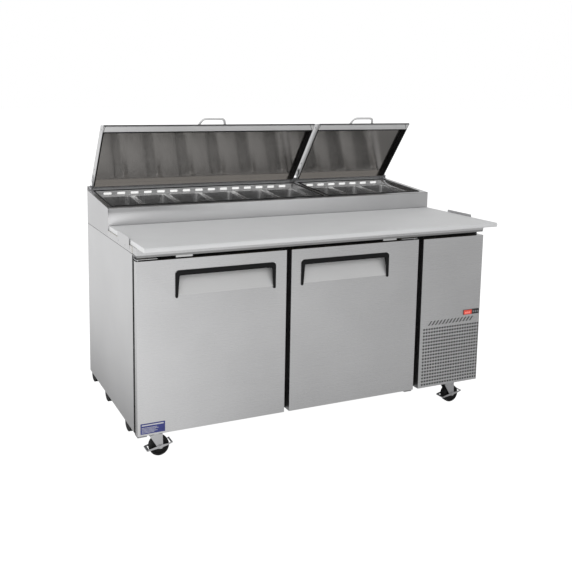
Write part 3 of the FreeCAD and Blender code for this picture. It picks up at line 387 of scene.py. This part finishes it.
def piece(name, bm, material, body, replaces=(), turn=None, shell=0.0, smooth=35.0):
    """Turn a mesh drawn in millimetres into a finished piece that rides on a body."""
    if turn is not None:
        bmesh.ops.transform(bm, matrix=turn, verts=bm.verts)
    bmesh.ops.scale(bm, vec=(MM, MM, MM), verts=bm.verts)
    if not shell:
        bmesh.ops.recalc_face_normals(bm, faces=bm.faces)
    mesh = bpy.data.meshes.new(name)
    bm.to_mesh(mesh)
    bm.free()
    mesh.polygons.foreach_set("use_smooth", [True] * len(mesh.polygons))
    mesh.set_sharp_from_angle(angle=math.radians(smooth))
    mesh.materials.append(MATERIALS[material])
    item = bpy.data.objects.new(name, mesh)
    bpy.context.scene.collection.objects.link(item)
    if shell:
        wall = item.modifiers.new("wall", "SOLIDIFY")
        wall.thickness = shell * MM
        wall.offset = -1
        wall.use_even_offset = True
    weights = item.modifiers.new("weights", "WEIGHTED_NORMAL")
    weights.keep_sharp = True
    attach(item, body)
    if replaces:
        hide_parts(*replaces)
    return item


BODY_OF = {node: body for body, nodes in frame["record"]["behaviour"]["bodies"].items() for node in nodes}


def refined(node, material, edge=0.5, segments=2):
    """The CAD shape with welded faces and softened edges, standing for its node."""
    bm = bmesh.new()
    bm.from_mesh(frame["nodes"][node].data)
    bmesh.ops.scale(bm, vec=(1 / MM, 1 / MM, 1 / MM), verts=bm.verts)
    bmesh.ops.remove_doubles(bm, verts=bm.verts, dist=0.004)
    bmesh.ops.dissolve_limit(bm, angle_limit=math.radians(0.5), verts=bm.verts, edges=bm.edges,
                             use_dissolve_boundaries=False)
    if edge:
        soften(bm, edge, segments)
    return piece(f"{node}_surface", bm, material, BODY_OF[node], replaces=(node,))


def dress(node, material):
    """Keep the CAD node and give it a finish."""
    item = frame["nodes"][node]
    item.data.materials.clear()
    item.data.materials.append(MATERIALS[material])


# ---------------------------------------------------- places on the object

# The sloping top of the rail has its own frame, with y along the slope from its front edge.
rail_low = box("rail_panels")[0]
RAIL_FRONT_HEIGHT = 127
RAIL_FRONT = Matrix.Translation((0, rail_low.y, rail_low.z + RAIL_FRONT_HEIGHT))
RAIL = RAIL_FRONT @ Matrix.Rotation(SLOPE, 4, "X")
WELL_FRONT, WELL_REAR, LEDGE = 34.0, 363.0, -26.0

# So has an open lid, with its origin on the hinge, its front at negative y and its recess below.
pivot = hinge("left_lid_hinge")
LID = Matrix.Translation((0, pivot.y, pivot.z)) @ Matrix.Rotation(SLOPE - LID_OPEN, 4, "X")
LID_FRONT, RECESS_FRONT, LID_REAR, LID_LOW, LID_HIGH = -391.5, -354.5, -11.5, -5.5, 41.0
LID_CREST = LID_FRONT + 33.5

# ------------------------------------------------------------ cabinet body

refined("side_panels", "side", 0.4)
refined("rail_panels", "rail", 0.5)
refined("rail_top_frame", "front", 0.4)
refined("worktop", "front", 0.5)
refined("well_rim", "pan", 0.3)
refined("rail_gaskets", "rubber", 0.8)
refined("door_frame", "black", 0.6)
refined("back_panel", "galvanised", 0.3)
refined("bottom_pan", "galvanised", 0.3)
refined("board_brackets", "side", 0.5)
refined("door_hinge_brackets", "zinc", 0.8)
refined("cutting_board", "board", 1.5, 3)
refined("power_inlet", "black", 0.8)
refined("unit_base", "galvanised", 0.5)
refined("compressor", "paint", 1.0)
refined("condenser", "paint", 1.0)
refined("condenser_fan", "liner", 0.5)
refined("evaporator", "liner", 1.0)
refined("evaporator_fan", "black", 0.5)
refined("shelves", "wire", 0.8)
refined("shelf_supports", "pan", 0.5)
refined("caster_plates", "zinc", 0.8)
for node in ("wall_insulation", "left_door_core", "right_door_core"):
    dress(node, "foam")
dress("liner_panels", "liner")

# ------------------------------------------------------------------ doors


PULL_BAR, PULL_SHOULDER = 21.0, 15.0


def arc(centre_x, centre_z, radius, start, end, steps=6):
    """Points (x, z) of an arc, with its angles in degrees."""
    angles = [math.radians(start + (end - start) * step / steps) for step in range(steps + 1)]
    return [(centre_x + radius * math.cos(a), centre_z + radius * math.sin(a)) for a in angles]


def pull_frame(side):
    """Frame of the recessed pull: a thick top bar with round shoulders and two tapering legs."""
    low, high = box(f"{side}_door_handle")
    front, back = low.y, high.y
    left, right, bottom, top = low.x, high.x, low.z, high.z
    bar, shoulder, wide, foot, bend = PULL_BAR, PULL_SHOULDER, 17.0, 5.5, 4
    outline = arc(left + foot, bottom + foot, foot, 180, 360)
    outline += arc(left + wide + bend, top - bar - bend, bend, 180, 90, 4)
    outline += arc(right - wide - bend, top - bar - bend, bend, 90, 0, 4)
    outline += arc(right - foot, bottom + foot, foot, 180, 360)
    outline += arc(right - shoulder, top - shoulder, shoulder, 0, 90)
    outline += arc(left + shoulder, top - shoulder, shoulder, 90, 180)
    bm = bmesh.new()
    plate(bm, [(x, front, z) for x, z in outline], (0, 3.2, 0))
    soften(bm, 0.9, 2, 50)
    lip = [(left + 3, front + 3.5, top - 5), (left + 3, front + 10, top - 5),
           (left + 3, front + 10, top - 16), (left + 3, front + 3, top - bar + 1)]
    plate(bm, lip, (right - left - 6, 0, 0))
    for x in (left + 0.1, right - 2.9):
        cheek = [(x, front + 3, bottom + 8), (x, back - 0.3, top - 18.5),
                 (x, back - 0.3, top - 0.4), (x, front + 4.5, top - 0.4), (x, front + 3, top - shoulder)]
        plate(bm, cheek, (2.8, 0, 0))
    piece(f"{side}_door_pull", bm, "black", f"{side}_door", (f"{side}_door_handle",))


def pull_slope(side):
    """Steel slope inside the pull, and the steel corners outside the frame's round shoulders, all in a
    brighter, less metallic copy of the steel: painted light.
    """
    low, high = box(f"{side}_door_handle")
    front, left, right, top = low.y, low.x, high.x, high.z
    bm = bmesh.new()
    slope = [(left + 3.2, front + 2.8, low.z + 8.5), (left + 3.2, front + 3.2, low.z + 8.5),
             (left + 3.2, high.y - 0.5, top - 19.5), (left + 3.2, high.y - 1.0, top - 19.5)]
    plate(bm, slope, (right - left - 6.4, 0, 0))
    shoulder = PULL_SHOULDER
    for centre, start, corner in ((left + shoulder, 90, left - 0.5), (right - shoulder, 0, right + 0.5)):
        filler = [(corner, top + 0.5)]
        filler += arc(centre, top - shoulder, shoulder - 0.6, start, start + 90, 8)
        plate(bm, [(x, front + 3.05, z) for x, z in filler], (0, 0.8, 0))
    piece(f"{side}_pull_slope", bm, "lit_steel", f"{side}_door")


for side in ("left", "right"):
    refined(f"{side}_door_skin", "front", 1.2, 3)
    refined(f"{side}_door_liner", "liner", 1.0)
    refined(f"{side}_door_gasket", "rubber", 2.0)
    pull_frame(side)
    pull_slope(side)

# ------------------------------------------------------------------- lids


def screw(bm, x, y, z, axis, radius=3.2, height=1.6):
    """A low pan-head screw standing on a face, its head pointing along an axis letter."""
    head = [(0.01, 0), (radius, 0), (radius * 0.96, height * 0.45)]
    head += [(radius * 0.7, height * 0.85), (0.01, height)]
    lathe(bm, head, (x, y, z), axis, 20)


TRAY_WALL, LINER_GAP = 1.2, 1.3


def lid_span(side):
    """Left and right side of a lid's tray."""
    low, high = box(f"{side}_lid_liner")
    return low.x - LINER_GAP, high.x + LINER_GAP


def lid_tray(body, start, end):
    """Hollow tray with a sloping front and a flange turned in along its lower front edge."""
    wall = TRAY_WALL
    outside = [
        (LID_REAR, LID_LOW), (LID_REAR, LID_HIGH), (LID_CREST, LID_HIGH),
        (LID_FRONT, LID_LOW + 6), (LID_FRONT, LID_LOW),
    ]
    section = outside + [
        (RECESS_FRONT, LID_LOW), (RECESS_FRONT, LID_LOW + wall), (LID_FRONT + wall, LID_LOW + wall),
        (LID_FRONT + wall, LID_LOW + 5.6), (LID_CREST + 0.6, LID_HIGH - wall),
        (LID_REAR - wall, LID_HIGH - wall), (LID_REAR - wall, LID_LOW),
    ]
    bm = bmesh.new()
    plate(bm, [(start + wall, y, z) for y, z in section], (end - start - 2 * wall, 0, 0))
    for x in (start, end - wall):
        plate(bm, [(x, y, z) for y, z in outside], (wall, 0, 0))
    soften(bm, 0.45, 2)
    piece(f"{body}_tray", bm, "front", body, (f"{body}_shell",), LID)


def lid_arms(body, start, end):
    """Side arms that carry the lid on its pins, with their bolts, and the tray's side screws."""
    arm = [
        (-5, -6.5), (5, -6.5), (8.5, 0), (7.5, 3.5), (-44, 24.5),
        (-63, 26), (-65.5, 23), (-65.5, 17), (-62, 14.5),
    ]
    thick = 4
    bm = bmesh.new()
    for x in (start - thick, end):
        plate(bm, [(x, y, z) for y, z in arm], (thick, 0, 0))
    soften(bm, 0.7, 2)
    for x in (start - 13, end - 1.2):
        lathe(bm, disc(4.0, 0, 14.2, 0.6), (x, 0, 0), "x", 24)
    for y, z in ((-30, 12.5), (-56, 20.5)):
        for x, reach in ((start - thick - 0.2, -1.8), (end + thick + 0.2, 1.8)):
            screw(bm, x, y, z, "x", 4.0, reach)
    piece(f"{body}_arms", bm, "zinc", body, turn=LID)
    bm = bmesh.new()
    for y in (LID_FRONT + 40, LID_FRONT + 284):
        screw(bm, start - 0.1, y, 17, "x", 3.4, -1.2)
        screw(bm, end + 0.1, y, 17, "x", 3.4, 1.2)
    piece(f"{body}_side_screws", bm, "key", body, turn=LID)


def lid_recess(body, start, end):
    """Mirror panel with its rear wall, and the black rim round the other three sides."""
    x0, x1 = start + LINER_GAP, end - LINER_GAP
    y0, y1 = RECESS_FRONT + 0.1, LID_REAR - LINER_GAP
    sheet, rim = LID_LOW + 24, 6.2
    bm = bmesh.new()
    slab(bm, (x0 + 6, y0 + 6, sheet), (x1 - 6, y1 - 2, sheet + 0.9))
    slab(bm, (x0 + 1, y1 - 2, LID_LOW + 0.6), (x1 - 1, y1 - 0.8, sheet + 0.9))
    soften(bm, 0.3, 1)
    piece(f"{body}_mirror", bm, "mirror", body, (f"{body}_liner",), LID)
    bm = bmesh.new()
    slab(bm, (x0, y0, LID_LOW + 0.1), (x0 + rim, y1 - 2.2, sheet))
    slab(bm, (x1 - rim, y0, LID_LOW + 0.1), (x1, y1 - 2.2, sheet))
    slab(bm, (x0 + rim, y0, LID_LOW + 0.1), (x1 - rim, y0 + rim, sheet))
    soften(bm, 0.8, 2)
    piece(f"{body}_rim", bm, "black", body, turn=LID)


def lid_flange_trim(body, start, end):
    """Bright face of the flange in a lighter copy of the steel, painted light; the black strip along its
    front, painted shade; and the mitred seams at its ends.
    """
    bm = bmesh.new()
    # Face of the flange in the lighter copy of the steel: painted light.
    slab(bm, (start + 2, LID_FRONT + 5.6, LID_LOW - 0.28), (end - 2, RECESS_FRONT - 2, LID_LOW + 0.2))
    soften(bm, 0.12, 1)
    piece(f"{body}_lip", bm, "lip", body, turn=LID)
    bm = bmesh.new()
    # Black strip on the flange's front edge: painted shade below its bright face.
    slab(bm, (start + 1.5, LID_FRONT - 0.5, LID_LOW + 0.4), (end - 1.5, LID_FRONT + 0.6, LID_LOW + 5.4))
    width = 2.2
    for x, lean in ((end - 27, 20), (start + 7, -4)):
        seam = [
            (x, LID_FRONT + 2), (x + width, LID_FRONT + 2),
            (x + width + lean, RECESS_FRONT - 1), (x + lean, RECESS_FRONT - 1),
        ]
        plate(bm, [(px, py, LID_LOW - 0.42) for px, py in seam], (0, 0, 0.4))
    piece(f"{body}_edge_strip", bm, "black", body, turn=LID)


def lid_grip(body, start, end):
    """Looped handle of flattened rod, standing out from the sloping front."""
    middle, height = (start + end) / 2, LID_HIGH - 9
    foot, loop = 66.5, 54
    edge = LID_FRONT - 8.0
    bm = bmesh.new()
    grip = rounded_path([
        (middle - foot, LID_CREST - 6.5, height), (middle - loop, edge, height),
        (middle + loop, edge, height), (middle + foot, LID_CREST - 6.5, height),
    ], 22)
    tube(bm, grip, 6.0, 20, 0.82, (0, 0, 1))
    # The grip is in the lighter copy of the steel: painted light.
    piece(f"{body}_grip", bm, "lip", body, (f"{body}_handle",), LID)


for side in ("left", "right"):
    for build in (lid_tray, lid_arms, lid_recess, lid_flange_trim, lid_grip):
        build(f"{side}_lid", *lid_span(side))


def lid_supports():
    """Open A-shaped hinge supports standing on the rail, each with its pin and bolts."""
    spans = []
    for side in ("left", "right"):
        start, end = lid_span(side)
        spans += [(start - 14, start - 6), (end + 5, end + 13)]
    pin = RAIL.inverted() @ Vector((0, pivot.y, pivot.z))
    along = pin.y
    bm = bmesh.new()
    for low_x, high_x in spans:
        middle = (low_x + high_x) / 2
        for foot, crest in ((-24, -2), (24, 2)):
            side = 1 if foot > 0 else -1
            leg = [
                (along + foot, 2), (along + foot - 8 * side, 2),
                (along + crest - 4 * side, 22), (along + crest + 6 * side, 22),
            ]
            plate(bm, [(middle - 1.5, y, z) for y, z in leg], (3, 0, 0))
        angles = [math.radians(20 * step) for step in range(18)]
        crown = [(along + 9 * math.cos(a), 17 + 9 * math.sin(a)) for a in angles]
        plate(bm, [(middle - 1.5, y, z) for y, z in crown], (3, 0, 0))
        slab(bm, (middle - 1.5, along - 7, 6), (middle + 1.5, along + 7, 12))
        slab(bm, (low_x, along - 26, 0), (high_x, along + 16, 2.2))
        lathe(bm, disc(6.0, -2.5, 2.5, 0.8), (middle, along, pin.z), "x", 6)
        for y in (along - 21, along + 12):
            lathe(bm, disc(3.0, 2.0, 4.4, 0.6), (middle, y, 0), "z", 16)
    soften(bm, 0.5, 2, 40)
    node = "lid_hinge_brackets"
    piece("lid_hinge_supports", bm, "zinc", "cabinet", (node,), RAIL)


lid_supports()

# -------------------------------------------------------------- food pans


def food_pan(bm, x, y, top, depth):
    """A third-size pan: rolled flange, round corners, tapered walls and a soft bottom."""
    rings = []
    inset = 12.0
    taper = 8.0
    for grow, drop, radius in ((0, 2.5, 9), (0, 0.6, 9), (0.7, 0, 8.6), (inset - 4, 0, 17),
                               (inset - 1.2, 1.2, 19), (inset, 4, 20), (inset + taper - 1, depth - 14, 24),
                               (inset + taper + 2, depth - 5, 27), (inset + taper + 7, depth - 1.5, 29),
                               (inset + taper + 14, depth - 0.8, 32)):
        outline = rounded_rectangle((x[0] + grow, x[1] - grow), (y[0] + grow, y[1] - grow), radius)
        rings.append([bm.verts.new((px, py, top - drop)) for px, py in outline])
    for here, there in zip(rings, rings[1:]):
        for k in range(len(here)):
            after = (k + 1) % len(here)
            bm.faces.new((here[k], here[after], there[after], there[k]))
    bm.faces.new(rings[-1])


PAN_PITCH, PAN_WIDTH, PAN_LENGTH, PAN_DEPTH = 176, 175, 325, 148


def pans(node, count):
    """A row of food pans side by side in one well."""
    first, front = box(node)[0].x, WELL_FRONT + 2
    bm = bmesh.new()
    for index in range(count):
        start = first + PAN_PITCH * index
        food_pan(bm, (start, start + PAN_WIDTH), (front, front + PAN_LENGTH), LEDGE + 1, PAN_DEPTH)
    piece(f"{node}_set", bm, "pan", "cabinet", (node,), RAIL, shell=0.8, smooth=60)


pans("left_pans", 6)
pans("right_pans", 3)

# ---------------------------------------------- air slots of the pan wells


SLOT_PITCH, SLOT_HALF = 67, 19.5


def well_slots():
    """Outlet cover on the back wall of each well, with its row of slots that glow: painted light."""
    cover, slots = bmesh.new(), bmesh.new()
    for node, count in (("left_pans", 15), ("right_pans", 7)):
        low, high = box(node)
        reach = SLOT_PITCH * (count - 1) / 2
        first, last = (low.x + high.x) / 2 - reach, (low.x + high.x) / 2 + reach
        slab(cover, (first - 55, WELL_REAR - 1.6, -23), (last + 55, WELL_REAR - 1.3, -4))
        for index in range(count):
            middle = first + SLOT_PITCH * index
            outline = rounded_rectangle((middle - SLOT_HALF, middle + SLOT_HALF), (-19.5, -8.5), 4.0, 3)
            plate(slots, [(x, WELL_REAR - 1.85, z) for x, z in outline], (0, 0.3, 0))
    # The cover is in the brighter copy of the steel: painted light.
    piece("well_air_cover", cover, "lit_steel", "cabinet", turn=RAIL)
    # The slots glow: painted light.
    piece("well_air_slots", slots, "slot_glow", "cabinet", turn=RAIL)


well_slots()

# ------------------------------------------------------ grille and controls

refined("controller", "gloss", 0.5)
for key in ("set_button", "down_button", "up_button"):
    refined(key, "key", 0.8)
dress("grille_panel", "front")


def grille_shade_mat():
    """Near-black mat just behind the perforated sheet: painted shade seen through its holes."""
    low, high = box("grille_panel")
    sheet, thick, top = 1.6, 3.0, 338
    bm = bmesh.new()
    slab(bm, (low.x + 12, low.y + sheet, low.z + 6), (high.x - 2.2, low.y + sheet + thick, low.z + top))
    soften(bm, 0.8, 2)
    piece("grille_shade_mat", bm, "grille_shade", "cabinet")


def display():
    """Lit window of the controller with three plain digits, all of them noughts."""
    case, bezel = box("controller")
    bm = bmesh.new()
    outline = rounded_rectangle((case.x + 1.2, case.x + 49), (case.z + 1.2, bezel.z - 1.2), 2.0, 3)
    plate(bm, [(x, case.y - 0.35, z) for x, z in outline], (0, 0.5, 0))
    piece("display_window", bm, "display", "cabinet")
    stroke, width, low_z, high_z = 1.1, 7, case.z + 6.5, case.z + 13.6
    bm = bmesh.new()
    for left in (case.x + 9, case.x + 20, case.x + 31):
        for z in (low_z, high_z - stroke):
            slab(bm, (left, case.y - 0.6, z), (left + width, case.y - 0.3, z + stroke))
        for x in (left, left + width - stroke):
            slab(bm, (x, case.y - 0.6, low_z), (x + stroke, case.y - 0.3, high_z))
    piece("display_digits", bm, "digits", "cabinet")


grille_shade_mat()
display()

# ------------------------------------------------------------ small fittings


def care_label():
    """Generic blue care label with pale bars, low on the left door."""
    corner = box("left_door_skin")[0]
    front, left, base = corner.y, corner.x + 12, corner.z + 8
    bm = bmesh.new()
    outline = rounded_rectangle((left, left + 103), (base, base + 44), 2, 3)
    plate(bm, [(x, front - 0.45, z) for x, z in outline], (0, 0.3, 0))
    piece("label_field", bm, "label", "left_door")
    bm = bmesh.new()
    bars = ((34, 92, 5.0), (25, 64, 1.8), (20, 70, 1.8), (15, 58, 1.8), (10, 66, 1.8), (5, 52, 1.8))
    for rise, length, thick in bars:
        low = (left + 5, front - 0.62, base + rise)
        slab(bm, low, (left + 5 + length, front - 0.4, base + rise + thick))
    piece("label_lines", bm, "vinyl", "left_door")


care_label()


def tab_screws():
    """Screws in the outer faces of the board's side tabs."""
    low, high = box("board_brackets")
    bm = bmesh.new()
    for y in (high.y - 14, high.y - 120):
        for x, reach in ((low.x + 0.1, -0.2), (high.x - 0.1, 0.2)):
            screw(bm, x, y, low.z + 36, "x", 3.6, reach)
    piece("tab_screws", bm, "key", "cabinet")


def edge_strips():
    """Black strips down the cabinet's front edges, and black strips in the seams of its sides: painted
    shade of the seams.
    """
    low, high = box("side_panels")
    bm = bmesh.new()
    for x in (low.x, high.x - 12):
        slab(bm, (x, low.y - 1.2, low.z + 3), (x + 12, low.y + 0.05, high.z - 4))
    soften(bm, 0.4, 1)
    piece("edge_strip", bm, "rubber", "cabinet")
    bm = bmesh.new()
    # Black strips in the side seams: painted shade of the seams.
    for low_x, high_x in ((low.x + 0.5, low.x + 1.2), (high.x - 1.2, high.x - 0.5)):
        slab(bm, (low_x, low.y + 1, high.z - 2), (high_x, high.y - 1, high.z + 2.2))
    slab(bm, (low.x - 0.45, low.y + 0.2, low.z + 3), (low.x + 0.1, low.y + 5, high.z - 4))
    piece("seam_shade_strips", bm, "rubber", "cabinet")


def door_gap_shade():
    """Black strip along the back of the left door's outer side: painted shade of the gap to the cabinet.
    """
    low, high = box("left_door_skin")
    bm = bmesh.new()
    slab(bm, (low.x - 0.45, high.y - 9, low.z + 1), (low.x + 0.1, high.y - 0.2, high.z - 1))
    soften(bm, 0.15, 1)
    piece("door_gap_shade", bm, "rubber", "left_door")


def worktop_fold():
    """Edge of the worktop folded down behind its front, in a darker copy of the steel: painted shade under
    the board.
    """
    low, high = box("worktop")
    bm = bmesh.new()
    slab(bm, (low.x + 3, low.y + 1.5, low.z - 9), (high.x - 3, low.y + 2.7, low.z + 2))
    soften(bm, 0.4, 2)
    piece("worktop_fold", bm, "shaded_fold", "cabinet")


tab_screws()
edge_strips()
door_gap_shade()
worktop_fold()


def pads():
    """Base blocks with round lower corners, and square bumpers on the back."""
    low, high = box("rubber_pads")
    base = box("bottom_pan")[0].z
    wide, half, bumper = 32, 38, 20
    bm = bmesh.new()
    for x in (low.x, high.x - wide):
        for y in (low.y + half, low.y + 388, low.y + 656):
            outline = [(x, y - half, base), (x, y + half, base)]
            for step in range(13):
                angle = math.pi * step / 12
                outline.append((x, y + half * math.cos(angle), base - 12 - 26 * math.sin(angle)))
            plate(bm, outline, (wide, 0, 0))
    soften(bm, 1.5, 2, 50)
    for x in (low.x + 56, high.x - 56):
        for z in (base + 60, high.z - bumper):
            slab(bm, (x - bumper, high.y - 5, z - bumper), (x + bumper, high.y, z + bumper))
    piece("base_pads", bm, "rubber", "cabinet", ("rubber_pads",))


pads()

# ---------------------------------------------------------------- casters

WHEEL_HALF = 16.0


def yoke(spot, swivel, axle):
    """V-shaped fork on its swivel plate, with the axle and its nuts."""
    x, y, z = axle
    top = box(f"{spot}_fork")[1].z
    leg = [
        (swivel.x - 25, top), (swivel.x - 26, top - 11), (x - 15, z + 5), (x - 13, z - 3),
        (x - 5, z - 8.6), (x + 5, z - 8.6), (x + 11, z - 3), (x + 13, z + 5),
        (swivel.x + 27.5, top - 15), (swivel.x + 27, top),
    ]
    bm = bmesh.new()
    for side in (-WHEEL_HALF - 6, WHEEL_HALF + 3):
        plate(bm, [(px, y + side, pz) for px, pz in leg], (0, 3, 0))
    slab(bm, (swivel.x - 25.5, y - 22, top - 6), (swivel.x + 27.5, y + 22, top - 0.1))
    soften(bm, 1.0, 2)
    lathe(bm, disc(24, top - 6, top, 1.5, 6.4), (swivel.x, swivel.y, 0), "z", 40)
    lathe(bm, disc(5.0, -26, 26, 0.5), (x, y, z), "y", 24)
    for start, end in ((-28.5, -25.3), (25.3, 28.5)):
        lathe(bm, disc(7.5, start, end, 1.2), (x, y, z), "y", 6)
    piece(f"{spot}_yoke", bm, "zinc", f"{spot}_fork", (f"{spot}_fork",))


def tyre(spot, axle):
    """Solid rubber wheel with a hub and a rounded tread."""
    half = WHEEL_HALF
    profile = [
        (5.4, -half), (12, -half), (12.5, -half + 3), (29, -half + 3), (30.5, -half), (37, -half),
        (41, -half + 2.5), (42.3, -half + 6), (42.5, 0), (42.3, half - 6), (41, half - 2.5),
        (37, half), (30.5, half), (29, half - 3), (12.5, half - 3), (12, half), (5.4, half),
    ]
    bm = bmesh.new()
    lathe(bm, profile, axle, "y", 72)
    piece(f"{spot}_tyre", bm, "tyre", f"{spot}_wheel", (f"{spot}_wheel",))


def rocker(spot, axle):
    """Brake: two rocking side arms joined by a pedal at each end."""
    x, y, z = axle
    arm = [
        (-54, -11.5), (-30, -8), (-10, -5.5), (6, -8.5), (12, -2), (30, 2.5), (54, 10.5),
        (54, 15.5), (34, 10), (12, 9), (-2, 9.5), (-12, 5), (-30, 0.5), (-54, -5.5),
    ]
    bm = bmesh.new()
    for side in (-WHEEL_HALF - 9, WHEEL_HALF + 6.5):
        plate(bm, [(x + px, y + side, z + pz) for px, pz in arm], (0, 2.5, 0))
    soften(bm, 0.7, 2)
    for low_x, high_x, low_z, high_z in ((-58, -46, -10.8, -6.2), (46, 54, 11.2, 14.8)):
        made = slab(bm, (x + low_x, y - 25, z + low_z), (x + high_x, y + 25, z + high_z))
        edges = {e for v in made for e in v.link_edges}
        bmesh.ops.bevel(bm, geom=list(edges), offset=1.8, segments=3, affect="EDGES", profile=0.5)
    piece(f"{spot}_rocker", bm, "zinc", f"{spot}_brake", (f"{spot}_brake",))


for spot in ("front_left", "front_right", "rear_left", "rear_right"):
    swivel, axle = hinge(f"{spot}_swivel"), hinge(f"{spot}_roll")
    yoke(spot, swivel, axle)
    tyre(spot, axle)
    if spot.startswith("front"):
        rocker(spot, axle)

# ------------------------------------------------- studio, camera and light

FLOOR_HALF = 60.0
# The floor's glow as the steel sees it: far left and far right, close to the cabinet, in the
# shade at its sides, and before the left door.
FLOOR_LEFT, FLOOR_RIGHT, FLOOR_NEAR, FLOOR_SHADE, FLOOR_BOOST = 1.05, 0.47, 0.57, 0.22, 1.30


def floor():
    """White floor for the camera; for the steel, brightest at the front left, dim by the cabinet."""
    bm = bmesh.new()
    bmesh.ops.create_grid(bm, x_segments=1, y_segments=1, size=FLOOR_HALF)
    mesh = bpy.data.meshes.new("floor")
    bm.to_mesh(mesh)
    bm.free()
    shader = Shader("studio_floor", (0.15, 0.15, 0.15), roughness=0.9)
    shader.put("Emission Color", (1.0, 1.0, 1.0, 1.0))
    place = shader.node("ShaderNodeSeparateXYZ")
    shader.link(shader.coordinates(), place.inputs["Vector"])
    # The last two numbers of each spread are where it starts and ends, in metres.
    side = shader.spread(place.outputs["X"], FLOOR_LEFT, FLOOR_RIGHT, -0.8, 2.2)
    boost = shader.spread(place.outputs["X"], FLOOR_BOOST, 0.96, -0.60, -0.10)
    near = shader.spread(place.outputs["Y"], 1.0, FLOOR_NEAR, -3.0, -0.7)
    right = shader.spread(place.outputs["X"], 0.0, 1.0, 0.5, 1.1)
    left = shader.spread(place.outputs["X"], 0.0, 0.88, -1.42, -0.98)
    right = shader.combine("MAXIMUM", left, right)
    behind = shader.spread(place.outputs["Y"], 0.0, 1.0, -0.65, -0.05)
    shade = shader.combine("MULTIPLY", right, behind)
    shade = shader.spread(shade, 1.0, FLOOR_SHADE, 0.0, 1.0)
    side = shader.combine("MULTIPLY", side, boost)
    seen = shader.combine("MULTIPLY", shader.combine("MULTIPLY", side, near), shade)
    rays = shader.node("ShaderNodeLightPath")
    glow = shader.combine("MAXIMUM", seen, rays.outputs["Is Camera Ray"])
    shader.link(glow, shader.surface.inputs["Emission Strength"])
    mesh.materials.append(shader.material)
    item = bpy.data.objects.new("floor", mesh)
    bpy.context.scene.collection.objects.link(item)


floor()


SKY_BASE, SKY_SIDE, SKY_BACK, SKY_UP, SKY_LEAST = 0.80, -0.28, 0.12, -0.10, 0.25


def studio_world():
    """White backdrop; the surroundings seen by the steel fall off towards the front right."""
    world = bpy.data.worlds.new("studio")
    bpy.context.scene.world = world
    world.use_nodes = True
    tree = world.node_tree
    nodes, links = tree.nodes, tree.links

    def math_node(operation, first, second):
        item = nodes.new("ShaderNodeMath")
        item.operation = operation
        for socket, value in zip(item.inputs, (first, second)):
            if isinstance(value, (int, float)):
                socket.default_value = value
            else:
                links.new(value, socket)
        return item.outputs[0]

    split = nodes.new("ShaderNodeSeparateXYZ")
    links.new(nodes.new("ShaderNodeTexCoord").outputs["Generated"], split.inputs["Vector"])
    level = math_node("ADD", SKY_BASE, math_node("MULTIPLY", split.outputs["X"], SKY_SIDE))
    level = math_node("ADD", level, math_node("MULTIPLY", split.outputs["Y"], SKY_BACK))
    height = math_node("MAXIMUM", split.outputs["Z"], 0.0)
    level = math_node("ADD", level, math_node("MULTIPLY", height, SKY_UP))
    level = math_node("MAXIMUM", level, SKY_LEAST)
    level = math_node("MINIMUM", level, 1.0)
    camera_ray = nodes.new("ShaderNodeLightPath").outputs["Is Camera Ray"]
    links.new(math_node("MAXIMUM", level, camera_ray), nodes["Background"].inputs["Strength"])
    nodes["Background"].inputs["Color"].default_value = (1.0, 1.0, 1.0, 1.0)


studio_world()


def softbox(name, place, target, width, height, power):
    """Rectangular area light aimed at a point."""
    lamp = bpy.data.lights.new(name, "AREA")
    lamp.shape = "RECTANGLE"
    lamp.size = width
    lamp.size_y = height
    lamp.energy = power
    item = bpy.data.objects.new(name, lamp)
    bpy.context.scene.collection.objects.link(item)
    item.location = place
    item.rotation_euler = (Vector(target) - Vector(place)).to_track_quat("-Z", "Y").to_euler()


softbox("key_left", (-4.0, -3.6, 3.6), (0.0, 0.0, 0.7), 2.6, 2.6, 26)

CAMERA_PLACE = Vector((-1.670, -3.2715, 1.492))
FOCAL, SENSOR, SHIFT_RIGHT, SHIFT_UP = 49.32, 36.0, 0.0600, -0.1467
AZIMUTH, ELEVATION, ROLL = (math.radians(a) for a in (-24.31, 7.93, 0.65))
back = Vector((
    math.sin(AZIMUTH) * math.cos(ELEVATION),
    -math.cos(AZIMUTH) * math.cos(ELEVATION),
    math.sin(ELEVATION),
))
right = (-back).cross(Vector((0, 0, 1))).normalized()
up = right.cross(-back)
right_rolled = right * math.cos(ROLL) + up * math.sin(ROLL)
up_rolled = up * math.cos(ROLL) - right * math.sin(ROLL)
lens = bpy.data.cameras.new("camera")
camera = bpy.data.objects.new("camera", lens)
bpy.context.scene.collection.objects.link(camera)
turn = Matrix((right_rolled, up_rolled, back)).transposed().to_4x4()
camera.matrix_world = Matrix.Translation(CAMERA_PLACE) @ turn
lens.sensor_width = SENSOR
lens.lens = FOCAL
lens.shift_x = SHIFT_RIGHT
lens.shift_y = SHIFT_UP
bpy.context.scene.camera = camera
bpy.context.scene.view_settings.view_transform = "Standard"
